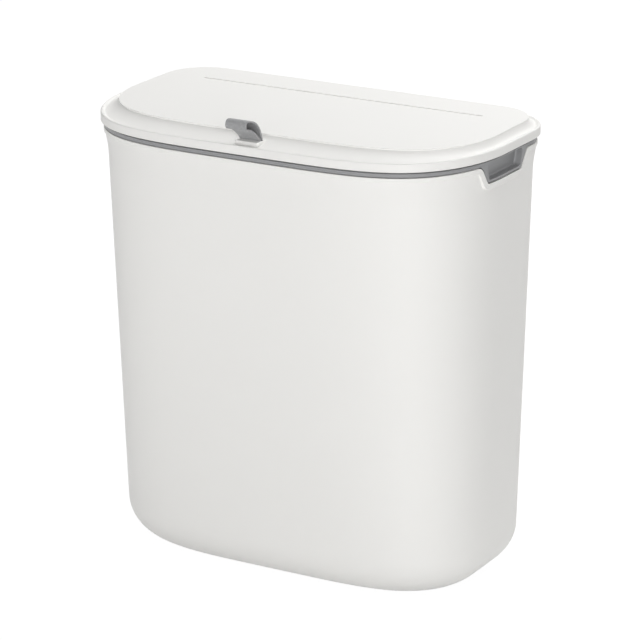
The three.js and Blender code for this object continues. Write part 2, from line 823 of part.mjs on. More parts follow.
/** Points of a closed line moved sideways along their normals. */
function offsetLoop(points, distance) {
  return points.map((point, i) => {
    const before = points[(i + points.length - 1) % points.length];
    const after = points[(i + 1) % points.length];
    const along = after.clone().sub(before).normalize();
    return new THREE.Vector2(point.x + along.y * distance, point.y - along.x * distance);
  });
}

function pullTab() {
  const samples = strapLine().getPoints(10);
  const points = samples.filter((point, i) => {
    const next = samples[(i + 1) % samples.length];
    return point.distanceTo(next) > 0.05;
  });
  const shape = new THREE.Shape(offsetLoop(points, strapThickness / 2));
  shape.holes.push(new THREE.Path(offsetLoop(points, -strapThickness / 2)));
  return prismAlongX(shape, -strapWidth / 2, strapWidth / 2);
}

/** A straight pin along X with chamfered ends. */
function pin(radius, fromX, toX, y, z) {
  const length = toX - fromX;
  const profile = [
    [0, 0], [radius - pinChamfer, 0], [radius, pinChamfer],
    [radius, length - pinChamfer], [radius - pinChamfer, length], [0, length],
  ].map(([r, h]) => new THREE.Vector2(r, h));
  const geometry = new THREE.LatheGeometry(profile, circleSteps);
  return solid(geometry.rotateZ(-Math.PI / 2).translate(fromX, y, z));
}

function tabKeeper() {
  const bottomZ = keeperTopZ - keeperThickness;
  let keeper = prismAlongZ(keeperShape(0), bottomZ, keeperTopZ);
  for (const side of [-1, 1]) {
    const x = (side * keeperScrewSpacing) / 2;
    const radius = screwRadius + screwGap;
    keeper = keeper.subtract(barAlongZ(radius, bottomZ - overcut, keeperTopZ + overcut, x, keeperY));
  }
  return keeper;
}

/** A pan-head screw under the keeper, with a round driving dimple. */
function keeperScrew(x) {
  const headTopZ = keeperTopZ - keeperThickness - screwGap;
  const tipZ = lidBottomZ + screwLength - screwGap;
  const shankLength = tipZ - headTopZ;
  const pointLength = screwRadius - screwPointRadius;
  const profile = [
    [0, screwDimpleDepth - screwHeadHeight], [screwDimpleRadius, -screwHeadHeight],
    [screwHeadRadius - screwHeadEdge, -screwHeadHeight],
    [screwHeadRadius, screwHeadEdge - screwHeadHeight], [screwHeadRadius, 0], [screwRadius, 0],
    [screwRadius, shankLength - pointLength], [screwPointRadius, shankLength], [0, shankLength],
  ].map(([r, h]) => new THREE.Vector2(r, h));
  const geometry = new THREE.LatheGeometry(profile, circleSteps).rotateX(Math.PI / 2);
  return solid(geometry.translate(x, keeperY, headTopZ));
}

function lidBumper({ x, y }) {
  const topZ = lidBottomZ + bumperRecess - bumperGap;
  return barAlongZ(bumperRadius, topZ - bumperThickness, topZ, x, y);
}

// ---------------------------------------------------------------------------
// Assembly
// ---------------------------------------------------------------------------

const finishes = {
  white: new THREE.MeshStandardMaterial({ color: 0xefeeea, roughness: 0.5, metalness: 0 }),
  grey: new THREE.MeshStandardMaterial({ color: 0x949493, roughness: 0.55, metalness: 0 }),
  strap: new THREE.MeshStandardMaterial({ color: 0x8c8c8e, roughness: 0.7, metalness: 0 }),
  steel: new THREE.MeshStandardMaterial({ color: 0xb8babc, roughness: 0.3, metalness: 1 }),
  rubber: new THREE.MeshStandardMaterial({ color: 0xd8d8d4, roughness: 0.8, metalness: 0 }),
};

const bin = new THREE.Group();

/** Adds one named piece to the bin. */
function place(name, body, finish) {
  const mesh = new THREE.Mesh(geometryOf(body), finish);
  mesh.name = name;
  bin.add(mesh);
}

place('bin_body', binBody(), finishes.white);
place('bag_ring', bagRing(), finishes.grey);
place('lid_shell', lidShell(), finishes.white);
place('pull_tab', pullTab(), finishes.strap);
const tabPinHalf = tabPinLength / 2;
place('tab_pin', pin(tabPinRadius, -tabPinHalf, tabPinHalf, slotFromFront, tabPinZ), finishes.steel);
place('tab_keeper', tabKeeper(), finishes.white);
['left', 'right'].forEach((name, i) => {
  const side = i === 0 ? -1 : 1;
  place(`keeper_screw_${name}`, keeperScrew((side * keeperScrewSpacing) / 2), finishes.steel);
  const [from, to] = pinSpan(hingeSets[i]);
  place(`hinge_pin_${name}`, pin(hingePinRadius, from, to, hingeY, hingeZ), finishes.steel);
});
['rear_left', 'front_left', 'rear_right', 'front_right'].forEach((name, i) => {
  place(`lid_bumper_${name}`, lidBumper(bumperPlaces()[i]), finishes.rubber);
});

const frontReach = slotFromFront - strapReach - strapRollRadius - strapThickness / 2;
const rearReach = hingeY + heelReach;
bin.position.y = -(frontReach + rearReach) / 2;

export default bin;
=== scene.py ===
import math
from collections import namedtuple

import bmesh
import bpy
from bpy.props import FloatProperty, FloatVectorProperty, PointerProperty
from bpy.types import Operator, Panel, PropertyGroup
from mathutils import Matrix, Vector


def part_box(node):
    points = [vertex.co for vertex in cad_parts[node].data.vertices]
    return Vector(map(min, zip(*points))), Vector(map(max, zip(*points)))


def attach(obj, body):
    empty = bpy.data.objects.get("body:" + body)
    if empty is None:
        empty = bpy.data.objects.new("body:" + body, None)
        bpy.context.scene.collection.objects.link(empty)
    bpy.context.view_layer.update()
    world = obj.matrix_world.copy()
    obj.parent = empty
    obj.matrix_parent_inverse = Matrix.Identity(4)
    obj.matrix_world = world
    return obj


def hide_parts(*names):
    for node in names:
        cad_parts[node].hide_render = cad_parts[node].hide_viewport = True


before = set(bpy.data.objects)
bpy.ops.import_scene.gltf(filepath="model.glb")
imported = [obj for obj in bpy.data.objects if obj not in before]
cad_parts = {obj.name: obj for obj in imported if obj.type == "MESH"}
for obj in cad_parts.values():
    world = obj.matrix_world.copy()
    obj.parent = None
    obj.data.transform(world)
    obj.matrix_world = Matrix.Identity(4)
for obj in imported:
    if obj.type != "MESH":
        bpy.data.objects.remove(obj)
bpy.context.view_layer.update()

bl_info = {
    "name": "Lidded Kitchen Bin",
    "version": (1, 0, 0),
    "blender": (4, 5, 0),
    "location": "View3D > Sidebar > Kitchen Bin",
    "description": "Models and finishes a slim kitchen bin with a bag ring and a hinged lid",
    "category": "Object",
}

MM = 0.001


def middle_of(node):
    """The middle of a CAD node's box, as (y, z)."""
    low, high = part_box(node)
    return (low[1] + high[1]) / 2, (low[2] + high[2]) / 2


# The CAD frame gives the overall sizes and places. y is measured from the front of the lid's rim.
BODY_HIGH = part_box("bin_body")[1]
RING_LOW, RING_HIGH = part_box("bag_ring")
LID_LOW, LID_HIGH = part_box("lid_shell")
TAB_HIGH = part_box("pull_tab")[1]
KEEPER_LOW, KEEPER_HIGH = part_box("tab_keeper")
HINGE_Y, HINGE_Z = middle_of("hinge_pin_right")
TAB_PIN_Y, TAB_PIN_Z = middle_of("tab_pin")
FRONT_Y = LID_LOW[1]

# The front of every plan is this superellipse across, and a half ellipse along
SWEEP_POWER = 4.5
SWEEP_STEPS = 120
REAR_STEPS = 16
LEAST_REAR = 1.5 * MM
BAR_SIDES = 48
# The longest step along a piece that follows the walls' curve
LONGEST_STEP = 2.5 * MM
# Faces that would lie in one plane are kept this far apart
HAIR = 0.03 * MM
# Points closer than these are one: where a ring closes, and where two pieces have been joined
SAME_PLACE = 0.001 * MM
JOIN_MERGE = 0.004 * MM
JOIN_SLIVER = 0.002 * MM

# How far cuts run out past a face, and past the body's mouth and sides
CUT_PAST = 2 * MM
CUT_ABOVE = 6 * MM
CUT_BESIDE = 5 * MM

# How far the lid's rim stands out over the body's, and the gaps under the ring and under the lid
OVERHANG = 1.8 * MM
SEAT_GAP = 0.3 * MM
LID_GAP = 0.8 * MM

# Rounding of the body's mouth and notch lips, and of the notches' corners
RIM_EDGE = 0.45 * MM
NOTCH_TOP_RADIUS = 5 * MM
NOTCH_BOTTOM_RADIUS = 3 * MM
# How far a lip runs on past its notch, and how deep it is rooted, in wall thicknesses
LIP_ENDS = 9 * MM
LIP_ROOT = 0.9
# How far inside its lip a notch is cut, and how far that cut runs on
NOTCH_INSIDE = 1.2 * MM
NOTCH_ENDS = 4 * MM
# The last loops of the body's floor, of the lid's hollow and of its plate, inside their edges
FLOOR_LOOP = 4 * MM
HOLLOW_LOOP = 3.5 * MM
PLATE_LOOP = 3 * MM
# The foot's underside, as (distance inside the bottom rounding, height)
FOOT_LINE = [
    (inset * MM, z * MM) for inset, z in ((7, 1.4), (5.6, 1.4), (5.2, 1.2), (5.1, 0.3), (4.8, 0))
]

# The ring's skirt, the rounding of its edges, and the step in its lip
RING_SKIRT = 20 * MM
RING_EDGE = 0.5 * MM
RING_STEP_EDGE = 0.25 * MM
RING_STEP_DEPTH = 1.8 * MM
# A finger pocket: its gap to the notch, its housing's height over the body and its root in the
# skirt, the loops that carry its face's curve inwards and the height that they close in on, and
# its recess, as half lengths, heights over the notch's bottom and over the body, and corner radii
POCKET_GAP = 0.8 * MM
POCKET_EDGE = 0.4 * MM
HOUSING_ENDS = 3.5 * MM
HOUSING_RISE = 2 * MM
HOUSING_ROOT = 0.05 * MM
FACE_LOOPS = (0.94, 0.88, 0.82, 0.76, 0.7)
FACE_MIDDLE = 1.2 * MM
RECESS_BOTTOM = (21.2 * MM, 2.5 * MM, 2.2 * MM)
RECESS_TOP = (24.3 * MM, 1.9 * MM, 3 * MM)
RECESS_AHEAD = 2.5 * MM
RECESS_HEEL = 1.4 * MM

# The hinges: places to each side, barrels of the lid, ears of the ring, and bores for the pins
HINGE_ASIDE = 75 * MM
HINGE_ROOM = 3.9 * MM
HINGE_EDGE = 0.35 * MM
BARREL_RADIUS = 3.52 * MM
BARREL_HALF = 7 * MM
EAR_RADIUS = 3.5 * MM
EAR_STEPS = 16
EAR_NEAR = 7.4 * MM
EAR_THICKNESS = 5 * MM
EAR_ROOM = 5.8 * MM
EAR_ROOT = 6 * MM
EAR_SUNK_LOW = 0.35 * MM
EAR_SUNK_TOP = 0.15 * MM
HEEL_REACH = 5.5 * MM
HEEL_HEIGHT = 2 * MM
HEEL_SLOPE = 1.2 * MM
HEEL_UNDER_PIN = 0.1 * MM
WEB_ROOT = 2.6 * MM
WEB_EDGE = 0.3 * MM
BORE_RADIUS = 1.78 * MM
BORE_INBOARD = 13.4 * MM
BORE_OUTBOARD = 11 * MM

# The lid's wall, its skirt inside the ring's opening, and the drip edge under its rim
LID_WALL = 2 * MM
HOLLOW_INSIDE = 0.6 * MM
HOLLOW_CHAMFER = 0.3 * MM
SKIRT_OUT = 0.8 * MM
SKIRT_IN = 2.2 * MM
SKIRT_HEIGHT = 3 * MM
SKIRT_CHAMFER = 0.4 * MM
DRIP_DEPTH = 0.25 * MM
DRIP_WIDTH = 1.1 * MM
DRIP_EDGE = 0.4 * MM
PLATE_EDGE = 0.25 * MM
# The turn of the cove that rises to the plate, and how hollow it is, from 0 for a straight slope
COVE_TURN = math.radians(62)
COVE_HOLLOW = 0.8
CHANNEL_STEPS = 8
COVE_STEPS = 18

# The block in the channel, and the slot and well for the strap in it
PEDESTAL_RISE = 2 * MM
PEDESTAL_ROOT = 1 * MM
PEDESTAL_FRONT = 1.6 * MM
PEDESTAL_BACK = 2 * MM
PEDESTAL_EDGE = 0.6 * MM
PEDESTAL_FRONT_RADIUS = 1.6 * MM
PEDESTAL_BACK_RADIUS = 0.2 * MM
SLOT_SIDE = 0.35 * MM
SLOT_HALF = 1.7 * MM
WELL_HALF = 2.85 * MM
WELL_ROOF = 0.6 * MM
KEEPER_ROOM = 0.3 * MM
KEEPER_CUT = 4 * MM

# The strap: round its pin, its two legs in the slot, and the roll at its top with the angles at
# which it starts and ends, in degrees
STRAP_EDGE = 0.4 * MM
WRAP_RADIUS = 1.95 * MM
WRAP_START = 165
WRAP_END = 375
LEG_ASIDE = 0.8 * MM
SLOT_RISE = 2.8 * MM
NECK_DROP = 1 * MM
ROLL_RADIUS = 2.75 * MM
ROLL_REACH = 17.2 * MM
ROLL_TOP = 80
ROLL_BOTTOM = -100

Plan = namedtuple("Plan", "half front back sweep rear")


# ---- Sizes and colours that a user would change ----

def length(name, description, value):
    """A length in metres, given in millimetres."""
    return FloatProperty(name=name, description=description, default=value * MM, unit='LENGTH')


class BinSizes(PropertyGroup):
    """Sizes of the moulded pieces."""
    rim_width: length("Rim width", "Width of the lid's rim", (LID_HIGH[0] - LID_LOW[0]) / MM)
    rim_depth: length(
        "Rim depth", "Depth of the lid's rim from front to back",
        (BODY_HIGH[1] + OVERHANG - FRONT_Y) / MM,
    )
    body_height: length(
        "Body height", "Height of the body without ring and lid", BODY_HIGH[2] / MM,
    )
    front_sweep: length("Front sweep", "Depth over which the front curves", 88)
    rear_radius: length("Rear corner radius", "Radius of the rim's rear corners", 38)
    lid_overhang: length(
        "Lid overhang", "How far the lid's rim stands out over the body's", OVERHANG / MM,
    )
    wall: length("Wall", "Thickness of the body's wall", 2)
    flare_out: length("Flare", "How far the rim stands out from the neck", 2.9)
    flare_height: length("Flare height", "Height of the flare under the rim band", 20.8)
    rim_band: length("Rim band", "Height of the raised band along the rim", 3)
    band_proud: length("Band height", "How far the rim band stands out from the flare", 0.55)
    base_width: length("Base width", "Width of the base if the walls ran down to the floor", 270)
    base_depth: length("Base depth", "Depth of the base if the walls ran down to the floor", 127)
    base_set_back: length("Base set-back", "How far the base's front lies behind the rim's", 23.5)
    base_sweep: length("Base sweep", "Depth over which the base's front curves", 65.3)
    base_rear: length("Base corner radius", "Radius of the base's rear corners", 24.8)
    fillet: length("Bottom rounding", "Radius of the rounding round the bottom", 30.5)
    foot_corner: length("Foot corner radius", "Radius of the foot's rear corners", 9)
    floor: length("Floor", "Thickness of the body's floor", 3.2)
    notch_middle: length("Notch place", "Middle of the side notches behind the rim's front", 92.7)
    notch_top: length("Notch top", "Length of a side notch at the rim", 60.4)
    notch_bottom: length("Notch bottom", "Length of a side notch at its bottom", 45.4)
    notch_depth: length("Notch depth", "Depth of a side notch below the rim", 12.4)
    lip_width: length("Lip width", "Width of the raised lip round a notch", 3.9)
    lip_proud: length("Lip height", "How far the lip stands out from the flare", 2.4)
    ring_inset: length("Ring inset", "How far the ring's lip lies inside the lid's rim", 2.2)
    ring_lip: length("Ring lip", "Height of the ring's lip", 3.5)
    ring_step: length("Ring step", "Height of the step along the top of the ring's lip", 0.9)
    ring_opening: length("Ring opening", "How far the ring's opening lies inside the rim", 9.6)
    ring_wall: length("Ring wall", "Thickness of the ring's skirt", 1.6)
    recess_depth: length("Recess depth", "Depth of a finger recess", 5.5)
    lid_rim: length("Lid rim", "Height of the lid's outer rim", 5.8)
    bead: length("Lid bead", "Width of the rounded bead round the lid", 2)
    channel: length("Channel", "How far the channel's lowest line lies inside the rim", 3.3)
    channel_depth: length("Channel depth", "Depth of the channel below the bead", 0.65)
    plate_front: length("Plate front", "How far the raised plate lies behind the rim", 19.3)
    plate_side: length("Plate sides", "How far the raised plate lies inside the rim", 8)
    plate_rise: length("Plate rise", "Height of the raised plate above the bead", 4.7)
    plate_drop: length("Plate edge", "Height of the plate's steep edge", 0.9)
    groove_length: length("Groove length", "Length of the groove across the plate", 214)
    groove_place: length("Groove place", "How far the groove lies behind the rim's front", 128.5)
    groove_width: length("Groove width", "Width of the groove across the plate", 2)
    groove_depth: length("Groove depth", "Depth of the groove across the plate", 1.5)
    strap_width: length("Strap width", "Width of the strap tab", 15.4)
    strap_thickness: length("Strap thickness", "Thickness of the strap tab", 1.1)
    pedestal_width: length("Pedestal width", "Width of the block that the strap comes out of", 17.6)


def paint(name, description, *colour):
    """A colour, given as its red, green and blue."""
    return FloatVectorProperty(
        name=name, description=description, subtype='COLOR', size=4, min=0.0, max=1.0,
        default=(*colour, 1.0),
    )


class BinFinishes(PropertyGroup):
    """Colours of the bin's materials."""
    white: paint("White", "Colour of the body and lid", 0.90, 0.893, 0.87)
    grey: paint("Grey", "Colour of the bag ring", 0.295, 0.297, 0.304)
    strap: paint("Strap grey", "Colour of the strap tab", 0.345, 0.347, 0.353)
    steel: paint("Steel", "Colour of the pins and screws", 0.58, 0.585, 0.6)
    rubber: paint("Bumper", "Colour of the bumpers", 0.62, 0.62, 0.6)


class BinStudio(PropertyGroup):
    """The camera's place."""
    azimuth: FloatProperty(
        name="Azimuth", description="Camera's turn round the bin", subtype='ANGLE',
        default=math.radians(29.57),
    )
    elevation: FloatProperty(
        name="Elevation", description="Camera's height above the horizon", subtype='ANGLE',
        default=math.radians(18.06),
    )
    distance: length("Distance", "Camera's distance", 2161.4)
    lens: FloatProperty(
        name="Lens", description="Camera's focal length in millimetres", default=185.8,
    )
    target: FloatVectorProperty(
        name="Target", description="Point that the camera looks at, from the rim's front",
        subtype='TRANSLATION', size=3, default=(0.0, 0.0, 0.155),
    )
    aside: length("Aside", "How far the aim is moved to the camera's right", 49.68)
    above: length("Above", "How far the aim is moved to the camera's top", 35.66)


# ---- Plans and outlines ----

def shrink(plan, front, side=None, back=None):
    """The plan moved inwards, by the same amount all round unless the side or back is given."""
    side = front if side is None else side
    back = side if back is None else back
    rear = max(plan.rear - (side + back) / 2, LEAST_REAR)
    return Plan(plan.half - side, plan.front + front, plan.back - back, plan.sweep - front, rear)


def between(first, second, part):
    """The plan that lies the given part of the way from one plan to another."""
    return Plan(*(a + (b - a) * part for a, b in zip(first, second)))


def level(plan, z):
    """Points round a plan at a height, from the left waist round the front and the back."""
    points = []
    waist = FRONT_Y + plan.front + plan.sweep
    for i in range(SWEEP_STEPS + 1):
        angle = math.pi * i / SWEEP_STEPS
        across = -math.cos(angle)
        x = plan.half * math.copysign(abs(across) ** (2 / SWEEP_POWER), across)
        points.append((x, waist - plan.sweep * math.sin(angle), z))
    centre_y = FRONT_Y + plan.back - plan.rear
    for side in (1, -1):
        for i in range(REAR_STEPS + 1):
            angle = math.pi / 2 * (i / REAR_STEPS + (side < 0))
            x = side * (plan.half - plan.rear) + plan.rear * math.cos(angle)
            points.append((x, centre_y + plan.rear * math.sin(angle), z))
    return points


def side_x(plan, y):
    """Half the width of a plan at a distance behind the rim's front."""
    ahead = max(plan.front + plan.sweep - y, 0) / plan.sweep
    return plan.half * (1 - ahead ** 2) ** (1 / SWEEP_POWER)


def rim_plan(sizes):
    """The rim's outline, the widest plan of the bin."""
    return Plan(sizes.rim_width / 2, 0, sizes.rim_depth, sizes.front_sweep, sizes.rear_radius)


def base_plan(sizes):
    """The outline that the walls would reach at the floor."""
    back = sizes.base_set_back + sizes.base_depth
    return Plan(sizes.base_width / 2, sizes.base_set_back, back, sizes.base_sweep, sizes.base_rear)


def quarter(steps):
    """Sine and cosine pairs over a quarter turn, from (0, 1) to (1, 0)."""
    angles = [math.pi / 2 * i / steps for i in range(steps + 1)]
    return [(math.sin(angle), math.cos(angle)) for angle in angles]


def edge_levels(plan, inset, z, aside, rise, steps=3, level_first=False):
    """Levels round an edge whose faces would meet at an inset and a height, with the rounding's
    reach inwards and upwards. It starts at the upright face unless the level one comes first."""
    levels = []
    for sine, cosine in quarter(steps):
        if level_first:
            sine, cosine = cosine, sine
        levels.append(level(shrink(plan, inset + aside * (1 - cosine)), z + rise * (1 - sine)))
    return levels


def rounded(corners, steps=6):
    """An open line through corners of (u, v, radius), with each inner corner rounded."""
    points = [Vector(corners[0][:2])]
    for before, corner, after in zip(corners, corners[1:], corners[2:]):
        middle = Vector(corner[:2])
        back = (Vector(before[:2]) - middle).normalized()
        ahead = (Vector(after[:2]) - middle).normalized()
        half_turn = back.angle(ahead) / 2
        reach = corner[2] / math.tan(half_turn)
        centre = middle + (back + ahead).normalized() * (corner[2] / math.sin(half_turn))
        start = middle + back * reach - centre
        end = middle + ahead * reach - centre
        turn = math.atan2(start.x * end.y - start.y * end.x, start.dot(end))
        for i in range(steps + 1):
            angle = turn * i / steps
            turned = Vector((
                start.x * math.cos(angle) - start.y * math.sin(angle),
                start.x * math.sin(angle) + start.y * math.cos(angle),
            ))
            points.append(centre + turned)
    points.append(Vector(corners[-1][:2]))
    return points


def closed_round(corners, steps=6):
    """A closed line through corners of (u, v, radius), with every corner rounded."""
    wrapped = [corners[-1]] + list(corners) + [corners[0]]
    return rounded(wrapped, steps)[1:-1]


def stepped(points):
    """The line with points added, so that pieces laid along it follow the walls' curve."""
    line = [points[0]]
    for start, end in zip(points, points[1:]):
        steps = math.ceil((end - start).length / LONGEST_STEP)
        line += [start.lerp(end, i / steps) for i in range(1, steps + 1)]
    return line


def grown(points, amount):
    """A closed line moved outwards along its normals."""
    moved = []
    area = sum(a.x * b.y - b.x * a.y for a, b in zip(points, points[1:] + points[:1]))
    way = math.copysign(1, area)
    for before, point, after in zip(points[-1:] + points[:-1], points, points[1:] + points[:1]):
        into = (point - before).normalized()
        out_of = (after - point).normalized()
        normal = Vector((into.y + out_of.y, -into.x - out_of.x)).normalized()
        square = max(normal.dot(Vector((into.y, -into.x))), 0.5)
        moved.append(point + normal * (way * amount / square))
    return moved


# ---- Modelling steps ----

def deselect():
    """Leaves nothing selected."""
    bpy.ops.object.select_all(action='DESELECT')


def use(piece):
    """Makes a piece the only selected and the active one."""
    deselect()
    piece.select_set(True)
    bpy.context.view_layer.objects.active = piece


def lay(piece, start, loop):
    """Slides a piece's points, from a number on, to a loop's places."""
    mesh = bmesh.from_edit_mesh(piece.data)
    mesh.verts.ensure_lookup_table()
    for vertex, place in zip(mesh.verts[start:start + len(loop)], loop):
        vertex.co = place
    bmesh.update_edit_mesh(piece.data)


def pick(piece, start, count):
    """Selects a stretch of points, and the edges between them."""
    bpy.ops.mesh.select_all(action='DESELECT')
    mesh = bmesh.from_edit_mesh(piece.data)
    mesh.verts.ensure_lookup_table()
    for vertex in mesh.verts[start:start + count]:
        vertex.select = True
    mesh.select_flush(True)
    bmesh.update_edit_mesh(piece.data)


def named(name):
    """The newly added piece, with its name."""
    piece = bpy.context.object
    piece.name = piece.data.name = name
    return piece


def edit_all():
    """Enters edit mode with everything selected."""
    bpy.ops.object.mode_set(mode='EDIT')
    bpy.ops.mesh.select_mode(type='VERT')
    bpy.ops.mesh.select_all(action='SELECT')


def loft(name, loops, is_ring=False):
    """A skin whose loops of points are each extruded from the one before. A ring meets its own
    first loop, and any other skin gets a face over each end."""
    deselect()
    count = len(loops[0])
    bpy.ops.mesh.primitive_circle_add(vertices=count, radius=50 * MM, fill_type='NOTHING')
    piece = named(name)
    edit_all()
    lay(piece, 0, loops[0])
    closing = loops[:1] if is_ring else []
    for number, loop in enumerate(loops[1:] + closing, 1):
        bpy.ops.mesh.extrude_edges_move()
        lay(piece, number * count, loop)
    if is_ring:
        bpy.ops.mesh.select_all(action='SELECT')
        bpy.ops.mesh.remove_doubles(threshold=SAME_PLACE)
    else:
        for start in (0, (len(loops) - 1) * count):
            pick(piece, start, count)
            bpy.ops.mesh.edge_face_add()
    bpy.ops.mesh.select_all(action='SELECT')
    bpy.ops.mesh.normals_make_consistent(inside=False)
    bpy.ops.object.mode_set(mode='OBJECT')
    return piece


def apply_modifier(piece, kind, **settings):
    """Puts a modifier on a piece and applies it."""
    use(piece)
    modifier = piece.modifiers.new(kind.lower(), kind)
    for key, value in settings.items():
        setattr(modifier, key, value)
    bpy.ops.object.modifier_apply(modifier=modifier.name)


def combine(piece, other, operation):
    """Cuts another piece out of a piece, or joins it on, and removes the other."""
    apply_modifier(piece, 'BOOLEAN', operation=operation, solver='EXACT', object=other)
    bpy.data.objects.remove(other)
    edit_all()
    bpy.ops.mesh.remove_doubles(threshold=JOIN_MERGE)
    bpy.ops.mesh.dissolve_degenerate(threshold=JOIN_SLIVER)
    bpy.ops.object.mode_set(mode='OBJECT')


def cut(piece, *cutters):
    """Cuts pieces out of a piece."""
    for cutter in cutters:
        combine(piece, cutter, 'DIFFERENCE')


def weld(piece, *others):
    """Joins pieces onto a piece as one moulding."""
    for other in others:
        combine(piece, other, 'UNION')


def block(name, low, high, edge):
    """A box between two corners with rounded edges."""
    deselect()
    middle = [(a + b) / 2 for a, b in zip(low, high)]
    size = [b - a for a, b in zip(low, high)]
    bpy.ops.mesh.primitive_cube_add(size=1, location=middle, scale=size)
    piece = named(name)
    bpy.ops.object.transform_apply(location=True, rotation=True, scale=True)
    if edge:
        edit_all()
        bpy.ops.mesh.bevel(offset=edge, segments=3, affect='EDGES')
        bpy.ops.object.mode_set(mode='OBJECT')
    return piece


def bar(name, radius, low_x, high_x, y, z, edge=0.0):
    """A round bar along X with rounded ends."""
    end = [(radius, 0)]
    if edge:
        end = [(radius - edge + edge * s, edge - edge * c) for s, c in quarter(3)]
    profile = [(r, low_x + d) for r, d in end] + [(r, high_x - d) for r, d in reversed(end)]
    angles = [2 * math.pi * i / BAR_SIDES for i in range(BAR_SIDES)]
    return loft(name, [
        [(x, y + r * math.cos(a), z + r * math.sin(a)) for a in angles] for r, x in profile
    ])


def slab(name, outline, low_x, high_x, edge):
    """An outline of (y, z) pushed along X, with rounded edges."""
    steps = [(low_x + edge * (1 - cosine), edge * (sine - 1)) for sine, cosine in quarter(3)]
    steps += [(low_x + high_x - x, amount) for x, amount in reversed(steps)]
    return loft(name, [[(x, p.x, p.y) for p in grown(outline, amount)] for x, amount in steps])


def finish(piece, coating, body, node, angle=32):
    """Smooths a finished piece, coats it, and sets it on its body in a CAD node's place."""
    use(piece)
    bpy.ops.object.shade_smooth_by_angle(angle=math.radians(angle))
    apply_modifier(piece, 'WEIGHTED_NORMAL', keep_sharp=True, weight=60)
    piece.data.materials.clear()
    piece.data.materials.append(material(coating))
    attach(piece, body)
    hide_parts(node)


# ---- Body ----

def neck_height(sizes):
    """The height at which the straight walls end and the flare starts."""
    return sizes.body_height - sizes.rim_band - sizes.flare_height


def body_plan(sizes, z):
    """The body's outer plan at a height between the floor and the neck."""
    neck = shrink(rim_plan(sizes), sizes.lid_overhang + sizes.flare_out)
    return between(base_plan(sizes), neck, z / neck_height(sizes))


def bottom_plan(sizes, z, inset):
    """The plan inside the body's outer plan, with rear corners that stay round at the foot."""
    wall = body_plan(sizes, z)
    rear = wall.rear + (sizes.foot_corner - wall.rear) * (inset / sizes.fillet)
    return shrink(wall, inset)._replace(rear=rear)


def fillet_levels(sizes, thickness, floor_z, steps=16):
    """Levels round the bottom rounding, on the outside or the inside of the wall."""
    radius = sizes.fillet - thickness
    levels = []
    for sine, cosine in quarter(steps):
        z = floor_z + radius * (1 - cosine)
        levels.append(level(bottom_plan(sizes, z, thickness + radius * (1 - sine)), z))
    return levels


def flare_inset(sizes, z):
    """How far inside the lid's rim the body's outer face lies, at a height in the flare."""
    part = min(max((z - neck_height(sizes)) / sizes.flare_height, 0), 1)
    near = sizes.lid_overhang + sizes.band_proud
    return near + (sizes.flare_out - sizes.band_proud) * (1 - part ** 2)


def flare_levels(sizes, thickness, steps=14):
    """Levels of the flare from the neck to the rim band, outside or inside the wall."""
    levels = []
    for i in range(steps + 1):
        z = neck_height(sizes) + sizes.flare_height * i / steps
        levels.append(level(shrink(rim_plan(sizes), flare_inset(sizes, z) + thickness), z))
    return levels


def lip_inset(sizes, z):
    """How far inside the lid's rim the face of a notch's lip lies, at a height."""
    band_z = sizes.body_height - sizes.rim_band
    drop = (band_z - z) / (sizes.notch_depth + sizes.lip_width - sizes.rim_band)
    return sizes.lid_overhang + max(drop, 0) * (sizes.flare_out - sizes.lip_proud)


def notch_line(sizes, grow, ends):
    """The open outline of a side notch in (y, z), moved outwards, with level ends at the rim."""
    middle = FRONT_Y + sizes.notch_middle
    lean = (sizes.notch_top - sizes.notch_bottom) / 2 / sizes.notch_depth
    aside = grow * (math.hypot(1, lean) - lean)
    top = sizes.notch_top / 2 + aside
    bottom = sizes.notch_bottom / 2 + aside
    top_z = sizes.body_height - grow
    bottom_z = top_z - sizes.notch_depth
    corners = [
        (middle - top - ends, top_z, 0),
        (middle - top, top_z, NOTCH_TOP_RADIUS - grow),
        (middle - bottom, bottom_z, NOTCH_BOTTOM_RADIUS + grow),
        (middle + bottom, bottom_z, NOTCH_BOTTOM_RADIUS + grow),
        (middle + top, top_z, NOTCH_TOP_RADIUS - grow),
        (middle + top + ends, top_z, 0),
    ]
    return stepped(rounded(corners, 10))


def notch_lip(sizes, side):
    """The raised lip that follows a notch's edge, swept along the notch's outline."""
    rim = rim_plan(sizes)
    line = notch_line(sizes, 0, LIP_ENDS)
    rounding = [(RIM_EDGE * (1 - c), RIM_EDGE * (1 - s)) for s, c in quarter(4)]
    loops = []
    for number, point in enumerate(line):
        ahead = line[min(number + 1, len(line) - 1)] - line[max(number - 1, 0)]
        into = Vector((ahead.y, -ahead.x)).normalized()
        level_end = number in (0, len(line) - 1)
        width = sizes.rim_band if level_end else sizes.lip_width
        far_side = [(width - across, depth) for across, depth in reversed(rounding)]
        section = [(0, None)] + rounding + far_side + [(width, None)]
        loop = []
        for across, depth in section:
            y, z = point + into * across
            if depth is None:
                inset = flare_inset(sizes, z) + sizes.wall * LIP_ROOT
            else:
                inset = lip_inset(sizes, z) + depth
            loop.append((side * side_x(shrink(rim, inset), y - FRONT_Y), y, z))
        loops.append(loop)
    return loft("notch_lip", loops)


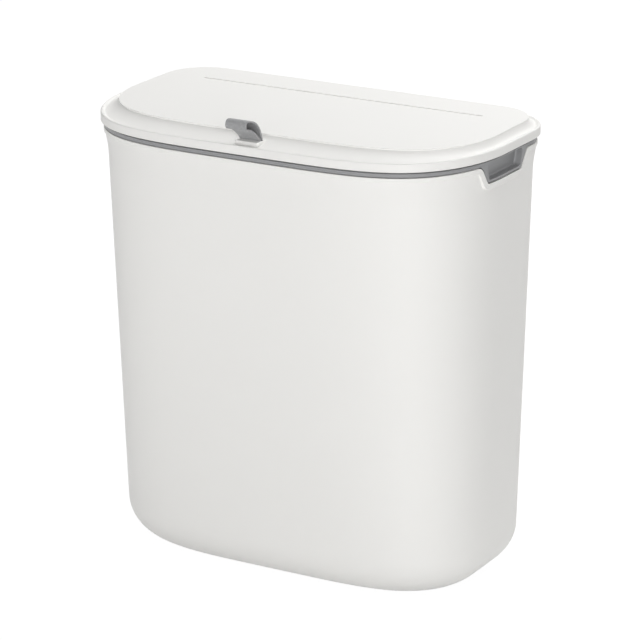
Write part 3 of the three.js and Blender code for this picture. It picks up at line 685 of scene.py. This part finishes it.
def make_body(sizes):
    """The tapered body with its rim band, foot ring and side notches."""
    rim = rim_plan(sizes)
    height = sizes.body_height - HAIR
    outer = sizes.lid_overhang + HAIR
    inner = outer + sizes.wall
    step = sizes.band_proud
    levels = [level(bottom_plan(sizes, 0, sizes.fillet + inset), z) for inset, z in FOOT_LINE]
    levels += fillet_levels(sizes, 0, 0)
    levels += flare_levels(sizes, 0)
    band_z = height - sizes.rim_band
    levels += edge_levels(rim, outer, band_z, step - HAIR, step, level_first=True)[1:]
    levels += edge_levels(rim, outer, height, RIM_EDGE, -RIM_EDGE, 4)
    levels += edge_levels(rim, inner, height, -RIM_EDGE, -RIM_EDGE, 4)[::-1]
    levels += flare_levels(sizes, sizes.wall)[::-1]
    levels += fillet_levels(sizes, sizes.wall, sizes.floor)[::-1]
    levels.append(level(bottom_plan(sizes, 0, sizes.fillet + FLOOR_LOOP), sizes.floor))
    body = loft("body_shell", levels)

    # The cut edge of the wall runs inside the lips
    opening = notch_line(sizes, NOTCH_INSIDE, NOTCH_ENDS)[1:-1]
    above = height + CUT_ABOVE
    outline = [Vector((opening[0].x, above))] + opening + [Vector((opening[-1].x, above))]
    beyond = sizes.rim_width / 2 + CUT_BESIDE
    cut(body, loft("notch_cut", [[(x, p.x, p.y) for p in outline] for x in (-beyond, beyond)]))
    weld(body, notch_lip(sizes, 1), notch_lip(sizes, -1))
    return body


# ---- Bag ring ----

def pocket_outline(sizes):
    """The closed outline of a finger pocket's housing in (y, z), clear of the body's notch."""
    line = notch_line(sizes, -POCKET_GAP, HOUSING_ENDS)
    top_z = sizes.body_height + HOUSING_RISE
    closing = [line[-1], Vector((line[-1].x, top_z)), Vector((line[0].x, top_z)), line[0]]
    return line + stepped(closing)[1:-1]


def recess_outline(sizes):
    """The outline of a finger recess in (y, z)."""
    middle = FRONT_Y + sizes.notch_middle
    bottom, lift, bottom_radius = RECESS_BOTTOM
    top, rise, top_radius = RECESS_TOP
    bottom_z = sizes.body_height - sizes.notch_depth + lift
    top_z = sizes.body_height + rise
    line = closed_round([
        (middle - bottom, bottom_z, bottom_radius),
        (middle + bottom, bottom_z, bottom_radius),
        (middle + top, top_z, top_radius),
        (middle - top, top_z, top_radius),
    ], 8)
    return stepped(line + line[:1])[:-1]


def on_face(sizes, side, points, depth):
    """Points of (y, z) laid at a depth behind a pocket's face, flush with the ring's lip."""
    rim = rim_plan(sizes)
    face = sizes.ring_inset - sizes.lid_overhang + HAIR
    loop = []
    for y, z in points:
        x = side_x(shrink(rim, lip_inset(sizes, z) + face + depth), y - FRONT_Y)
        loop.append((side * x, y, z))
    return loop


def pocket_housing(sizes, side):
    """The solid block of a finger pocket, with a face that follows the wall's curve."""
    outline = pocket_outline(sizes)
    centre = Vector((FRONT_Y + sizes.notch_middle, sizes.body_height + FACE_MIDDLE))
    edge = POCKET_EDGE
    inner = side * (sizes.rim_width / 2 - sizes.ring_opening + HOUSING_ROOT)
    loops = [[(inner, p.x, p.y) for p in outline]]
    for sine, cosine in reversed(quarter(3)):
        loops.append(on_face(sizes, side, grown(outline, edge * (sine - 1)), edge * (1 - cosine)))
    flat = grown(outline, -edge)
    for part in FACE_LOOPS:
        loops.append(on_face(sizes, side, [centre + (p - centre) * part for p in flat], 0))
    return loft("pocket_housing", loops)


def pocket_recess(sizes, side):
    """The space of a finger recess, with a rounded mouth and a flat, rounded back."""
    outline = recess_outline(sizes)
    mouth, heel = POCKET_EDGE, RECESS_HEEL
    back = side * (sizes.rim_width / 2 - sizes.ring_inset - sizes.recess_depth)
    loops = [on_face(sizes, side, grown(outline, mouth), -RECESS_AHEAD)]
    for sine, cosine in quarter(4):
        wide = grown(outline, mouth * (1 - sine))
        loops.append(on_face(sizes, side, wide, mouth * (1 - cosine)))
    for sine, cosine in quarter(5):
        around = grown(outline, -heel * (1 - cosine))
        loops.append([(back + side * heel * (1 - sine), p.x, p.y) for p in around])
    return loft("pocket_recess", loops)


def hinge_places():
    """The middle of each hinge, and which way is inboard."""
    middle = (RING_HIGH[0] + RING_LOW[0]) / 2
    return [(middle + side * HINGE_ASIDE, -side) for side in (-1, 1)]


def ear_outline(sizes):
    """The outline of a hinge ear in (y, z), round over the pin, with the lid's stop behind it."""
    low_z = sizes.body_height + EAR_SUNK_LOW
    top_z = sizes.body_height + SEAT_GAP + sizes.ring_lip - EAR_SUNK_TOP
    root_y = HINGE_Y - EAR_ROOT
    heel_y = HINGE_Y + HEEL_REACH
    heel_z = HINGE_Z - HEEL_UNDER_PIN
    heel = [(heel_y - HEEL_SLOPE, low_z), (heel_y, heel_z - HEEL_HEIGHT), (heel_y, heel_z)]
    last = math.pi + math.asin((HINGE_Z - top_z) / EAR_RADIUS)
    angles = [last * i / EAR_STEPS for i in range(EAR_STEPS + 1)]
    top = [(HINGE_Y + EAR_RADIUS * math.cos(a), HINGE_Z + EAR_RADIUS * math.sin(a)) for a in angles]
    return [Vector(point) for point in [(root_y, low_z)] + heel + top + [(root_y, top_z)]]


def hinge_bore(place, inboard):
    """The space for a hinge pin, open at the inboard ear."""
    low, high = sorted((place + inboard * BORE_INBOARD, place - inboard * BORE_OUTBOARD))
    return bar("hinge_bore", BORE_RADIUS, low, high, HINGE_Y, HINGE_Z)


def make_ring(sizes):
    """The bag ring with its skirt, finger pockets and hinge ears."""
    rim = rim_plan(sizes)
    bottom = sizes.body_height + SEAT_GAP
    top = bottom + sizes.ring_lip
    skirt_z = bottom - RING_SKIRT
    opening, inset = sizes.ring_opening, sizes.ring_inset
    outer = opening - sizes.ring_wall
    edge, step_edge = RING_EDGE, RING_STEP_EDGE
    step_z = top - sizes.ring_step
    step_in = inset + RING_STEP_DEPTH
    levels = edge_levels(rim, opening, skirt_z, -edge, edge)
    levels += edge_levels(rim, outer, skirt_z, edge, edge, level_first=True)
    levels += edge_levels(rim, outer, bottom, -edge, -edge)
    levels += edge_levels(rim, inset, bottom, edge, edge, level_first=True)
    levels += edge_levels(rim, inset, step_z, step_edge, -step_edge)
    levels += [level(shrink(rim, step_in), z) for z in (step_z, top - step_edge)]
    levels += [level(shrink(rim, step_in + step_edge), top)]
    levels += edge_levels(rim, opening, top, -edge, -edge, level_first=True)
    ring = loft("ring_moulding", levels, is_ring=True)

    for side in (-1, 1):
        weld(ring, pocket_housing(sizes, side))
        cut(ring, pocket_recess(sizes, side))
    for place, inboard in hinge_places():
        room = (place - EAR_NEAR, place + EAR_NEAR)
        cut(ring, bar("hinge_room", HINGE_ROOM, *room, HINGE_Y, HINGE_Z))
        for way in (-1, 1):
            near = place + way * EAR_NEAR
            ends = sorted((near, near + way * EAR_THICKNESS))
            weld(ring, slab("hinge_ear", ear_outline(sizes), *ends, HINGE_EDGE))
        cut(ring, hinge_bore(place, inboard))
    return ring


# ---- Lid ----

def lid_levels(sizes, low, rim_z):
    """The lid's section, from its hollow underside round the skirt and the rim to the plate."""
    rim = rim_plan(sizes)
    plate_z = rim_z + sizes.plate_rise
    roof_z = plate_z - LID_WALL
    skirt_in = sizes.ring_opening + SKIRT_IN
    skirt_out = sizes.ring_opening + SKIRT_OUT
    hollow = shrink(rim, sizes.plate_front + LID_WALL, skirt_in + HOLLOW_INSIDE)
    levels = [level(shrink(hollow, HOLLOW_LOOP), roof_z)]
    levels += edge_levels(hollow, 0, roof_z, LID_WALL, -LID_WALL, 4, level_first=True)
    levels.append(level(hollow, low + HOLLOW_CHAMFER))
    levels.append(level(shrink(hollow, -HOLLOW_CHAMFER), low))
    foot_z = low - SKIRT_HEIGHT
    side_z = foot_z + SKIRT_CHAMFER
    skirt = [
        (skirt_in, low), (skirt_in, side_z), (skirt_in - SKIRT_CHAMFER, foot_z),
        (skirt_out + SKIRT_CHAMFER, foot_z), (skirt_out, side_z), (skirt_out, low),
        (DRIP_WIDTH + DRIP_EDGE, low), (DRIP_WIDTH, low - DRIP_DEPTH),
    ]
    levels += [level(shrink(rim, inset), z) for inset, z in skirt]
    levels += edge_levels(rim, 0, low - DRIP_DEPTH, DRIP_EDGE, DRIP_EDGE, 4, level_first=True)

    # The rounded bead, the shallow channel behind it and the cove up to the plate's steep edge
    half_bead = sizes.bead / 2
    levels += edge_levels(rim, 0, rim_z, half_bead, -half_bead, 7)
    crest = shrink(rim, half_bead)
    channel = shrink(rim, sizes.channel)
    for i in range(1, CHANNEL_STEPS + 1):
        part = i / CHANNEL_STEPS
        fall = (1 - math.cos(math.pi * part)) / 2
        levels.append(level(between(crest, channel, part), rim_z - sizes.channel_depth * fall))
    plate = shrink(rim, sizes.plate_front, sizes.plate_side)
    floor_z = rim_z - sizes.channel_depth
    climb = plate_z - sizes.plate_drop - floor_z
    for i in range(1, COVE_STEPS + 1):
        angle = COVE_TURN * i / COVE_STEPS
        out = math.sin(angle) / math.sin(COVE_TURN)
        curve = (1 - math.cos(angle)) / (1 - math.cos(COVE_TURN))
        rise = out + (curve - out) * COVE_HOLLOW
        levels.append(level(between(channel, plate, out), floor_z + climb * rise))
    levels += edge_levels(plate, 0, plate_z, PLATE_EDGE, -PLATE_EDGE, 4)
    levels.append(level(shrink(plate, PLATE_LOOP), plate_z))
    return levels


def slot(name, half, y, reach, low_z, high_z):
    """A plain block across the bin's middle, to each side of a place along it."""
    return block(name, (-half, y - reach, low_z), (half, y + reach, high_z), 0)


def make_lid(sizes):
    """The lid with its bead, channel, raised plate, groove, pedestal and hinge barrels."""
    low = sizes.body_height + SEAT_GAP + sizes.ring_lip + LID_GAP
    rim_z = low + sizes.lid_rim
    plate_z = rim_z + sizes.plate_rise
    lid = loft("lid_moulding", lid_levels(sizes, low, rim_z))

    top_z = rim_z + PEDESTAL_RISE
    weld(lid, make_pedestal(sizes, rim_z - sizes.channel_depth - PEDESTAL_ROOT, top_z))
    half = sizes.strap_width / 2 + SLOT_SIDE
    keeper_low = (KEEPER_LOW[0] - KEEPER_ROOM, KEEPER_LOW[1] - KEEPER_ROOM, low - KEEPER_CUT)
    keeper_high = (KEEPER_HIGH[0] + KEEPER_ROOM, KEEPER_HIGH[1] + KEEPER_ROOM, low)
    cut(
        lid,
        slot("strap_slot", half, TAB_PIN_Y, SLOT_HALF, low, top_z + CUT_PAST),
        slot("strap_well", half, TAB_PIN_Y, WELL_HALF, low - CUT_PAST, rim_z - WELL_ROOF),
        block("keeper_room", keeper_low, keeper_high, 0),
        slot(
            "plate_groove", sizes.groove_length / 2, FRONT_Y + sizes.groove_place,
            sizes.groove_width / 2, plate_z - sizes.groove_depth, plate_z + CUT_PAST,
        ),
    )
    for place, inboard in hinge_places():
        for way in (-1, 1):
            near = place + way * BARREL_HALF
            ends = sorted((near, near + way * EAR_ROOM))
            cut(lid, bar("ear_room", HINGE_ROOM, *ends, HINGE_Y, HINGE_Z))
        ends = (place - BARREL_HALF, place + BARREL_HALF)
        web_low = (ends[0], FRONT_Y + sizes.rim_depth - WEB_ROOT, HINGE_Z)
        web_high = (ends[1], HINGE_Y, HINGE_Z + EAR_RADIUS)
        weld(lid, block("barrel_web", web_low, web_high, WEB_EDGE))
        weld(lid, bar("barrel", BARREL_RADIUS, *ends, HINGE_Y, HINGE_Z, HINGE_EDGE))
        cut(lid, hinge_bore(place, inboard))
    return lid


def make_pedestal(sizes, low_z, high_z):
    """The rounded block in the channel that the strap comes out of."""
    half = sizes.pedestal_width / 2
    front = FRONT_Y + sizes.channel + PEDESTAL_FRONT
    back = FRONT_Y + sizes.plate_front + PEDESTAL_BACK
    outline = closed_round([
        (-half, front, PEDESTAL_FRONT_RADIUS), (half, front, PEDESTAL_FRONT_RADIUS),
        (half, back, PEDESTAL_BACK_RADIUS), (-half, back, PEDESTAL_BACK_RADIUS),
    ], 8)
    loops = [[(p.x, p.y, low_z) for p in outline]]
    for sine, cosine in quarter(4):
        ring = grown(outline, -PEDESTAL_EDGE * (1 - cosine))
        loops.append([(p.x, p.y, high_z - PEDESTAL_EDGE * (1 - sine)) for p in ring])
    return loft("strap_pedestal", loops)


# ---- Strap tab ----

def bezier(start, first, second, end, steps):
    """Points along a cubic curve, without its last point."""
    points = []
    for i in range(steps):
        t = i / steps
        rest = 1 - t
        weights = (rest ** 3, 3 * rest ** 2 * t, 3 * rest * t ** 2, t ** 3)
        ends = (start, first, second, end)
        points.append(sum((p * w for p, w in zip(ends, weights)), Vector((0, 0))))
    return points


def heading(degrees, distance):
    """A step in (y, z) at an angle."""
    angle = math.radians(degrees)
    return Vector((math.cos(angle), math.sin(angle))) * distance


def along(degrees, distance):
    """A step in (y, z) along a circle, at an angle on it."""
    angle = math.radians(degrees)
    return Vector((-math.sin(angle), math.cos(angle))) * distance


def arc(centre, radius, start, end, steps):
    """Points along an arc between two angles in degrees, without its last point."""
    return [centre + heading(start + (end - start) * i / steps, radius) for i in range(steps)]


def strap_line(sizes):
    """The strap's middle line in (y, z): round its pin, up through the slot and over in a loop."""
    pin = Vector((TAB_PIN_Y, TAB_PIN_Z))
    slot_z = pin.y + SLOT_RISE
    neck_z = slot_z - NECK_DROP
    roll_z = TAB_HIGH[2] - ROLL_RADIUS - sizes.strap_thickness / 2
    roll = Vector((pin.x - ROLL_REACH, roll_z))
    rear_top, rear_neck = (Vector((pin.x + LEG_ASIDE, z)) for z in (slot_z, neck_z))
    front_top, front_neck = (Vector((pin.x - LEG_ASIDE, z)) for z in (slot_z, neck_z))
    rear_wrap = pin + heading(WRAP_END - 360, WRAP_RADIUS)
    front_wrap = pin + heading(WRAP_START, WRAP_RADIUS)
    crown = roll + heading(ROLL_TOP, ROLL_RADIUS)
    under = roll + heading(ROLL_BOTTOM, ROLL_RADIUS)

    # How far each curve runs straight on from its two ends
    down = Vector((0, -0.6 * MM))
    rear_shoulder, front_shoulder = (Vector((y, 1.2 * MM)) for y in (1.65 * MM, -1.65 * MM))
    rear_lead = rear_top + Vector((-2.3 * MM, 10.7 * MM))
    crown_lead = crown - along(ROLL_TOP, 11.4 * MM)
    under_lead = under + along(ROLL_BOTTOM, 7.8 * MM)
    front_lead = front_top + Vector((-0.6 * MM, 2.7 * MM))

    line = arc(pin, WRAP_RADIUS, WRAP_START, WRAP_END, 20)
    line += bezier(rear_wrap, pin + rear_shoulder, rear_neck + down, rear_neck, 6)
    line += [rear_neck]
    line += bezier(rear_top, rear_lead, crown_lead, crown, 24)
    line += arc(roll, ROLL_RADIUS, ROLL_TOP, ROLL_BOTTOM + 360, 30)
    line += bezier(under, under_lead, front_lead, front_top, 24)
    line += [front_top]
    line += bezier(front_neck, front_neck + down, pin + front_shoulder, front_wrap, 6)
    return line


def make_strap(sizes):
    """The strap, a closed loop of soft band with rounded edges."""
    line = strap_line(sizes)
    half = sizes.strap_width / 2
    thick = sizes.strap_thickness / 2
    section = [(half - STRAP_EDGE * (1 - c), thick - STRAP_EDGE * (1 - s)) for s, c in quarter(3)]
    section += [(-x, t) for x, t in reversed(section)]
    section += [(x, -t) for x, t in reversed(section)]
    count = len(line)
    loops = []
    for x, lift in section:
        loop = []
        for i, point in enumerate(line):
            ahead = (line[(i + 1) % count] - line[i - 1]).normalized()
            place = point + Vector((ahead.y, -ahead.x)) * lift
            loop.append((x, place.x, place.y))
        loops.append(loop)
    return loft("strap_loop", loops, is_ring=True)


# ---- Materials ----

class Shader:
    """A material's node tree, built up node by node."""

    def __init__(self, name):
        self.material = bpy.data.materials.new(name)
        self.material.use_nodes = True
        self.tree = self.material.node_tree
        self.principled = self.tree.nodes["Principled BSDF"]
        self.place = self.node("ShaderNodeTexCoord").outputs["Object"]

    def fill(self, node, **settings):
        """Sets a node's properties and inputs, and joins outputs to its inputs."""
        for key, value in settings.items():
            if hasattr(node, key):
                setattr(node, key, value)
                continue
            socket = node.inputs[key.replace("_", " ")]
            if isinstance(value, bpy.types.NodeSocket):
                self.tree.links.new(value, socket)
            else:
                socket.default_value = value

    def node(self, kind, **settings):
        """Adds a node with its settings."""
        node = self.tree.nodes.new(kind)
        self.fill(node, **settings)
        return node

    def surface(self, **settings):
        """Sets the shader's own sockets, and gives the finished material."""
        self.fill(self.principled, **settings)
        return self.material

    def noise(self, scale, detail=2.0, roughness=0.5):
        """A noise over the object's own coordinates."""
        node = self.node("ShaderNodeTexNoise", Vector=self.place, Scale=scale)
        self.fill(node, Detail=detail, Roughness=roughness)
        return node.outputs["Fac"]

    def spread(self, value, low, high):
        """A value from 0 to 1 brought to a range."""
        node = self.node("ShaderNodeMapRange", Value=value, To_Min=low, To_Max=high)
        return node.outputs["Result"]

    def tint(self, value, colour, low, high):
        """A colour made darker or lighter between two factors, chosen by a value."""
        node = self.node("ShaderNodeMix", data_type='RGBA', Factor=value)
        ends = [socket for socket in node.inputs if socket.type == 'RGBA']
        for end, factor in zip(ends, (low, high)):
            end.default_value = [part * factor for part in colour[:3]] + [1]
        return next(socket for socket in node.outputs if socket.type == 'RGBA')

    def bump(self, height, strength, distance, **under):
        """A bump, over another one if given as Normal."""
        node = self.node("ShaderNodeBump", Height=height, Strength=strength, **under)
        self.fill(node, Distance=distance)
        return node.outputs["Normal"]


def moulded_plastic(name, colour, roughness, specular):
    """Injection-moulded plastic with a fine spark-eroded texture and faint flow shading."""
    shader = Shader(name)
    lower = shader.bump(shader.noise(700, detail=3), strength=0.06, distance=0.2 * MM)
    return shader.surface(
        Base_Color=shader.tint(shader.noise(9, detail=3), colour, 0.985, 1.01),
        Roughness=shader.spread(shader.noise(60, detail=3), roughness - 0.03, roughness + 0.03),
        Normal=shader.bump(shader.noise(2600), strength=0.1, distance=0.08 * MM, Normal=lower),
        IOR=1.49, Specular_IOR_Level=specular,
    )


def strap_band(name, colour):
    """Soft woven-face band: mottled, with fine ribs across it and a faint sheen."""
    shader = Shader(name)
    mottle = shader.noise(800, detail=4, roughness=0.7)
    ribs = shader.node(
        "ShaderNodeTexWave", Vector=shader.place, bands_direction='X', Scale=210.0,
        Distortion=0.4, Detail=1.0,
    )
    lower = shader.bump(ribs.outputs["Fac"], strength=0.22, distance=0.12 * MM)
    return shader.surface(
        Base_Color=shader.tint(mottle, colour, 0.62, 1.4),
        Roughness=shader.spread(mottle, 0.55, 0.72),
        Normal=shader.bump(shader.noise(1900), strength=0.25, distance=0.1 * MM, Normal=lower),
        Sheen_Weight=0.1, Sheen_Roughness=0.5, Specular_IOR_Level=0.3,
    )


def drawn_steel(name, colour):
    """Drawn steel with fine turning marks."""
    shader = Shader(name)
    marks = shader.noise(3200, detail=3)
    return shader.surface(
        Base_Color=shader.tint(marks, colour, 0.92, 1.05),
        Roughness=shader.spread(marks, 0.24, 0.4),
        Normal=shader.bump(marks, strength=0.1, distance=0.05 * MM),
        Metallic=1.0,
    )


def soft_rubber(name, colour):
    """Matt soft rubber with a fine bloom."""
    shader = Shader(name)
    bloom = shader.noise(900, detail=4)
    return shader.surface(
        Base_Color=shader.tint(bloom, colour, 0.94, 1.04),
        Roughness=shader.spread(bloom, 0.7, 0.85),
        Normal=shader.bump(bloom, strength=0.12, distance=0.1 * MM),
        Specular_IOR_Level=0.35,
    )


def material(name):
    """A finish of the bin, made the first time that it is asked for."""
    if name in bpy.data.materials:
        return bpy.data.materials[name]
    finishes = bpy.context.scene.bin_finishes
    makers = {
        "satin_white": lambda: moulded_plastic(name, finishes.white, 0.5, 0.35),
        "satin_grey": lambda: moulded_plastic(name, finishes.grey, 0.45, 0.5),
        "strap_band": lambda: strap_band(name, finishes.strap),
        "drawn_steel": lambda: drawn_steel(name, finishes.steel),
        "soft_rubber": lambda: soft_rubber(name, finishes.rubber),
    }
    return makers[name]()


def coat(node, name):
    """Gives a CAD node a finish."""
    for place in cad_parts[node].material_slots:
        place.material = material(name)


# ---- Stage ----

# Even light from all round, and the point that the lamps are turned to
WORLD_LIGHT = 0.2
LAMP_AIM = Vector((0, 0, 0.17))
# name, azimuth and elevation in degrees, distance, width and height in metres, power in watts
LAMPS = (
    ("front", 0, 8, 2.0, 1.2, 0.8, 7.6),
    ("front_right", 38, 8, 2.0, 0.5, 1.2, 16.0),
    ("left_low", -75, 5, 2.0, 0.8, 0.8, 4.2),
    ("left_high", -90, 50, 2.0, 1.0, 1.0, 1.0),
    ("right_high", 95, 58, 2.0, 0.4, 0.4, 3.6),
    ("back_high", 180, 50, 2.0, 1.2, 1.2, 27.5),
)


def plain(tree, kind, grey, strength=None):
    """Adds a shader of one grey to a node tree."""
    shader = tree.nodes.new(kind)
    shader.inputs["Color"].default_value = (grey, grey, grey, 1)
    if strength is not None:
        shader.inputs["Strength"].default_value = strength
    return shader


def show_white(tree, lit, white, output):
    """Gives rays from the camera, reflections and rays through glass the white shader, and all
    others the lit one."""
    path = tree.nodes.new("ShaderNodeLightPath")
    seen = path.outputs["Is Camera Ray"]
    for name in ("Is Glossy Ray", "Is Transmission Ray"):
        either = tree.nodes.new("ShaderNodeMath")
        either.operation = 'MAXIMUM'
        tree.links.new(seen, either.inputs[0])
        tree.links.new(path.outputs[name], either.inputs[1])
        seen = either.outputs[0]
    mix = tree.nodes.new("ShaderNodeMixShader")
    for source, target in zip((seen, lit.outputs[0], white.outputs[0]), mix.inputs):
        tree.links.new(source, target)
    tree.links.new(mix.outputs[0], tree.nodes[output].inputs["Surface"])


def make_floor():
    """A wide plain floor that the camera sees as white, with the bin's faint shadow on it."""
    deselect()
    bpy.ops.mesh.primitive_plane_add(size=12, location=(0, 0, -0.5 * MM))
    floor = bpy.context.object
    floor.name = "floor"
    cover = bpy.data.materials.new("stage_floor")
    cover.use_nodes = True
    tree = cover.node_tree
    tree.nodes.remove(tree.nodes["Principled BSDF"])
    white = tree.nodes.new("ShaderNodeAddShader")
    tree.links.new(plain(tree, "ShaderNodeBsdfDiffuse", 0.12).outputs[0], white.inputs[0])
    tree.links.new(plain(tree, "ShaderNodeEmission", 1, 0.95).outputs[0], white.inputs[1])
    show_white(tree, plain(tree, "ShaderNodeBsdfDiffuse", 0.8), white, "Material Output")
    floor.data.materials.append(cover)


def make_world():
    """Even light from all round, which the camera and reflections see as white."""
    world = bpy.data.worlds.new("studio")
    world.use_nodes = True
    bpy.context.scene.world = world
    tree = world.node_tree
    tree.nodes.remove(tree.nodes["Background"])
    even = plain(tree, "ShaderNodeBackground", 1, WORLD_LIGHT)
    show_white(tree, even, plain(tree, "ShaderNodeBackground", 1, 1), "World Output")


def away(turn, lift):
    """The direction from the bin at a turn round it and a height above the horizon."""
    return Vector((
        math.sin(turn) * math.cos(lift), -math.cos(turn) * math.cos(lift), math.sin(lift),
    ))


def add_lamp(name, azimuth, elevation, distance, width, height, power):
    """A soft lamp round the bin, turned to its middle."""
    way = away(math.radians(azimuth), math.radians(elevation))
    bpy.ops.object.light_add(type='AREA', location=LAMP_AIM + way * distance)
    lamp = bpy.context.object
    lamp.name = name
    lamp.data.shape = 'RECTANGLE'
    lamp.data.size = width
    lamp.data.size_y = height
    lamp.data.energy = power
    lamp.rotation_euler = way.to_track_quat('Z', 'Y').to_euler()


def add_camera(studio):
    """The camera at the view's angle, aimed a little aside and above."""
    azimuth = studio.azimuth
    back = away(azimuth, studio.elevation)
    right = Vector((math.cos(azimuth), math.sin(azimuth), 0))
    up = back.cross(right)
    aim = Vector(studio.target) + Vector((0, FRONT_Y, 0))
    aim += right * studio.aside + up * studio.above
    place = aim + back * studio.distance
    bpy.ops.object.camera_add(location=place)
    camera = bpy.context.object
    camera.rotation_euler = back.to_track_quat('Z', 'Y').to_euler()
    camera.data.lens = studio.lens
    camera.data.sensor_width = 36
    camera.data.clip_end = 50
    bpy.context.scene.camera = camera


# ---- Operators ----

class BIN_OT_body(Operator):
    """Model the tapered body with its rim, foot and side notches"""
    bl_idname = "bin.body"
    bl_label = "Body"

    def execute(self, context):
        made = make_body(context.scene.bin_sizes)
        finish(made, "satin_white", "bin", "bin_body")
        return {'FINISHED'}


class BIN_OT_ring(Operator):
    """Model the bag ring with its finger pockets and hinge ears"""
    bl_idname = "bin.ring"
    bl_label = "Bag ring"

    def execute(self, context):
        made = make_ring(context.scene.bin_sizes)
        finish(made, "satin_grey", "ring", "bag_ring")
        return {'FINISHED'}


class BIN_OT_lid(Operator):
    """Model the lid with its bead, cove, plate, pedestal and hinge barrels"""
    bl_idname = "bin.lid"
    bl_label = "Lid"

    def execute(self, context):
        made = make_lid(context.scene.bin_sizes)
        finish(made, "satin_white", "lid", "lid_shell")
        return {'FINISHED'}


class BIN_OT_strap(Operator):
    """Model the strap tab as a closed loop of soft band"""
    bl_idname = "bin.strap"
    bl_label = "Strap tab"

    def execute(self, context):
        made = make_strap(context.scene.bin_sizes)
        finish(made, "strap_band", "lid", "pull_tab", angle=50)
        return {'FINISHED'}


class BIN_OT_fittings(Operator):
    """Finish the pins, screws, keeper and bumpers"""
    bl_idname = "bin.fittings"
    bl_label = "Fittings"

    def execute(self, context):
        coat("tab_pin", "drawn_steel")
        for side in ("left", "right"):
            coat("keeper_screw_" + side, "drawn_steel")
            coat("hinge_pin_" + side, "drawn_steel")
        coat("tab_keeper", "satin_white")
        for place in ("front_left", "front_right", "rear_left", "rear_right"):
            coat("lid_bumper_" + place, "soft_rubber")
        return {'FINISHED'}


class BIN_OT_stage(Operator):
    """Set up the floor, lamps, world and camera"""
    bl_idname = "bin.stage"
    bl_label = "Stage"

    def execute(self, context):
        make_floor()
        make_world()
        for lamp in LAMPS:
            add_lamp(*lamp)
        context.scene.view_settings.view_transform = 'Standard'
        add_camera(context.scene.bin_studio)
        return {'FINISHED'}


class BIN_PT_panel(Panel):
    """Sizes, colours and steps of the kitchen bin"""
    bl_idname = "BIN_PT_panel"
    bl_label = "Kitchen Bin"
    bl_space_type = 'VIEW_3D'
    bl_region_type = 'UI'
    bl_category = "Kitchen Bin"

    def draw(self, context):
        scene = context.scene
        for group in (scene.bin_sizes, scene.bin_finishes, scene.bin_studio):
            column = self.layout.column()
            for key in group.bl_rna.properties.keys():
                if key not in ("rna_type", "name"):
                    column.prop(group, key)
        for step in STEPS:
            self.layout.operator(step.bl_idname)


STEPS = (BIN_OT_stage, BIN_OT_body, BIN_OT_ring, BIN_OT_lid, BIN_OT_strap, BIN_OT_fittings)
CLASSES = (BinSizes, BinFinishes, BinStudio) + STEPS + (BIN_PT_panel,)


def register():
    """Registers the classes and gives the scene its settings."""
    for item in CLASSES:
        bpy.utils.register_class(item)
    bpy.types.Scene.bin_sizes = PointerProperty(type=BinSizes)
    bpy.types.Scene.bin_finishes = PointerProperty(type=BinFinishes)
    bpy.types.Scene.bin_studio = PointerProperty(type=BinStudio)


def unregister():
    """Removes the scene's settings and the classes."""
    for name in ("bin_sizes", "bin_finishes", "bin_studio"):
        delattr(bpy.types.Scene, name)
    for item in reversed(CLASSES):
        bpy.utils.unregister_class(item)


def main():
    """Makes every piece and the stage."""
    register()
    bpy.ops.bin.stage()
    bpy.ops.bin.body()
    bpy.ops.bin.ring()
    bpy.ops.bin.lid()
    bpy.ops.bin.strap()
    bpy.ops.bin.fittings()


if __name__ == "__main__":
    main()
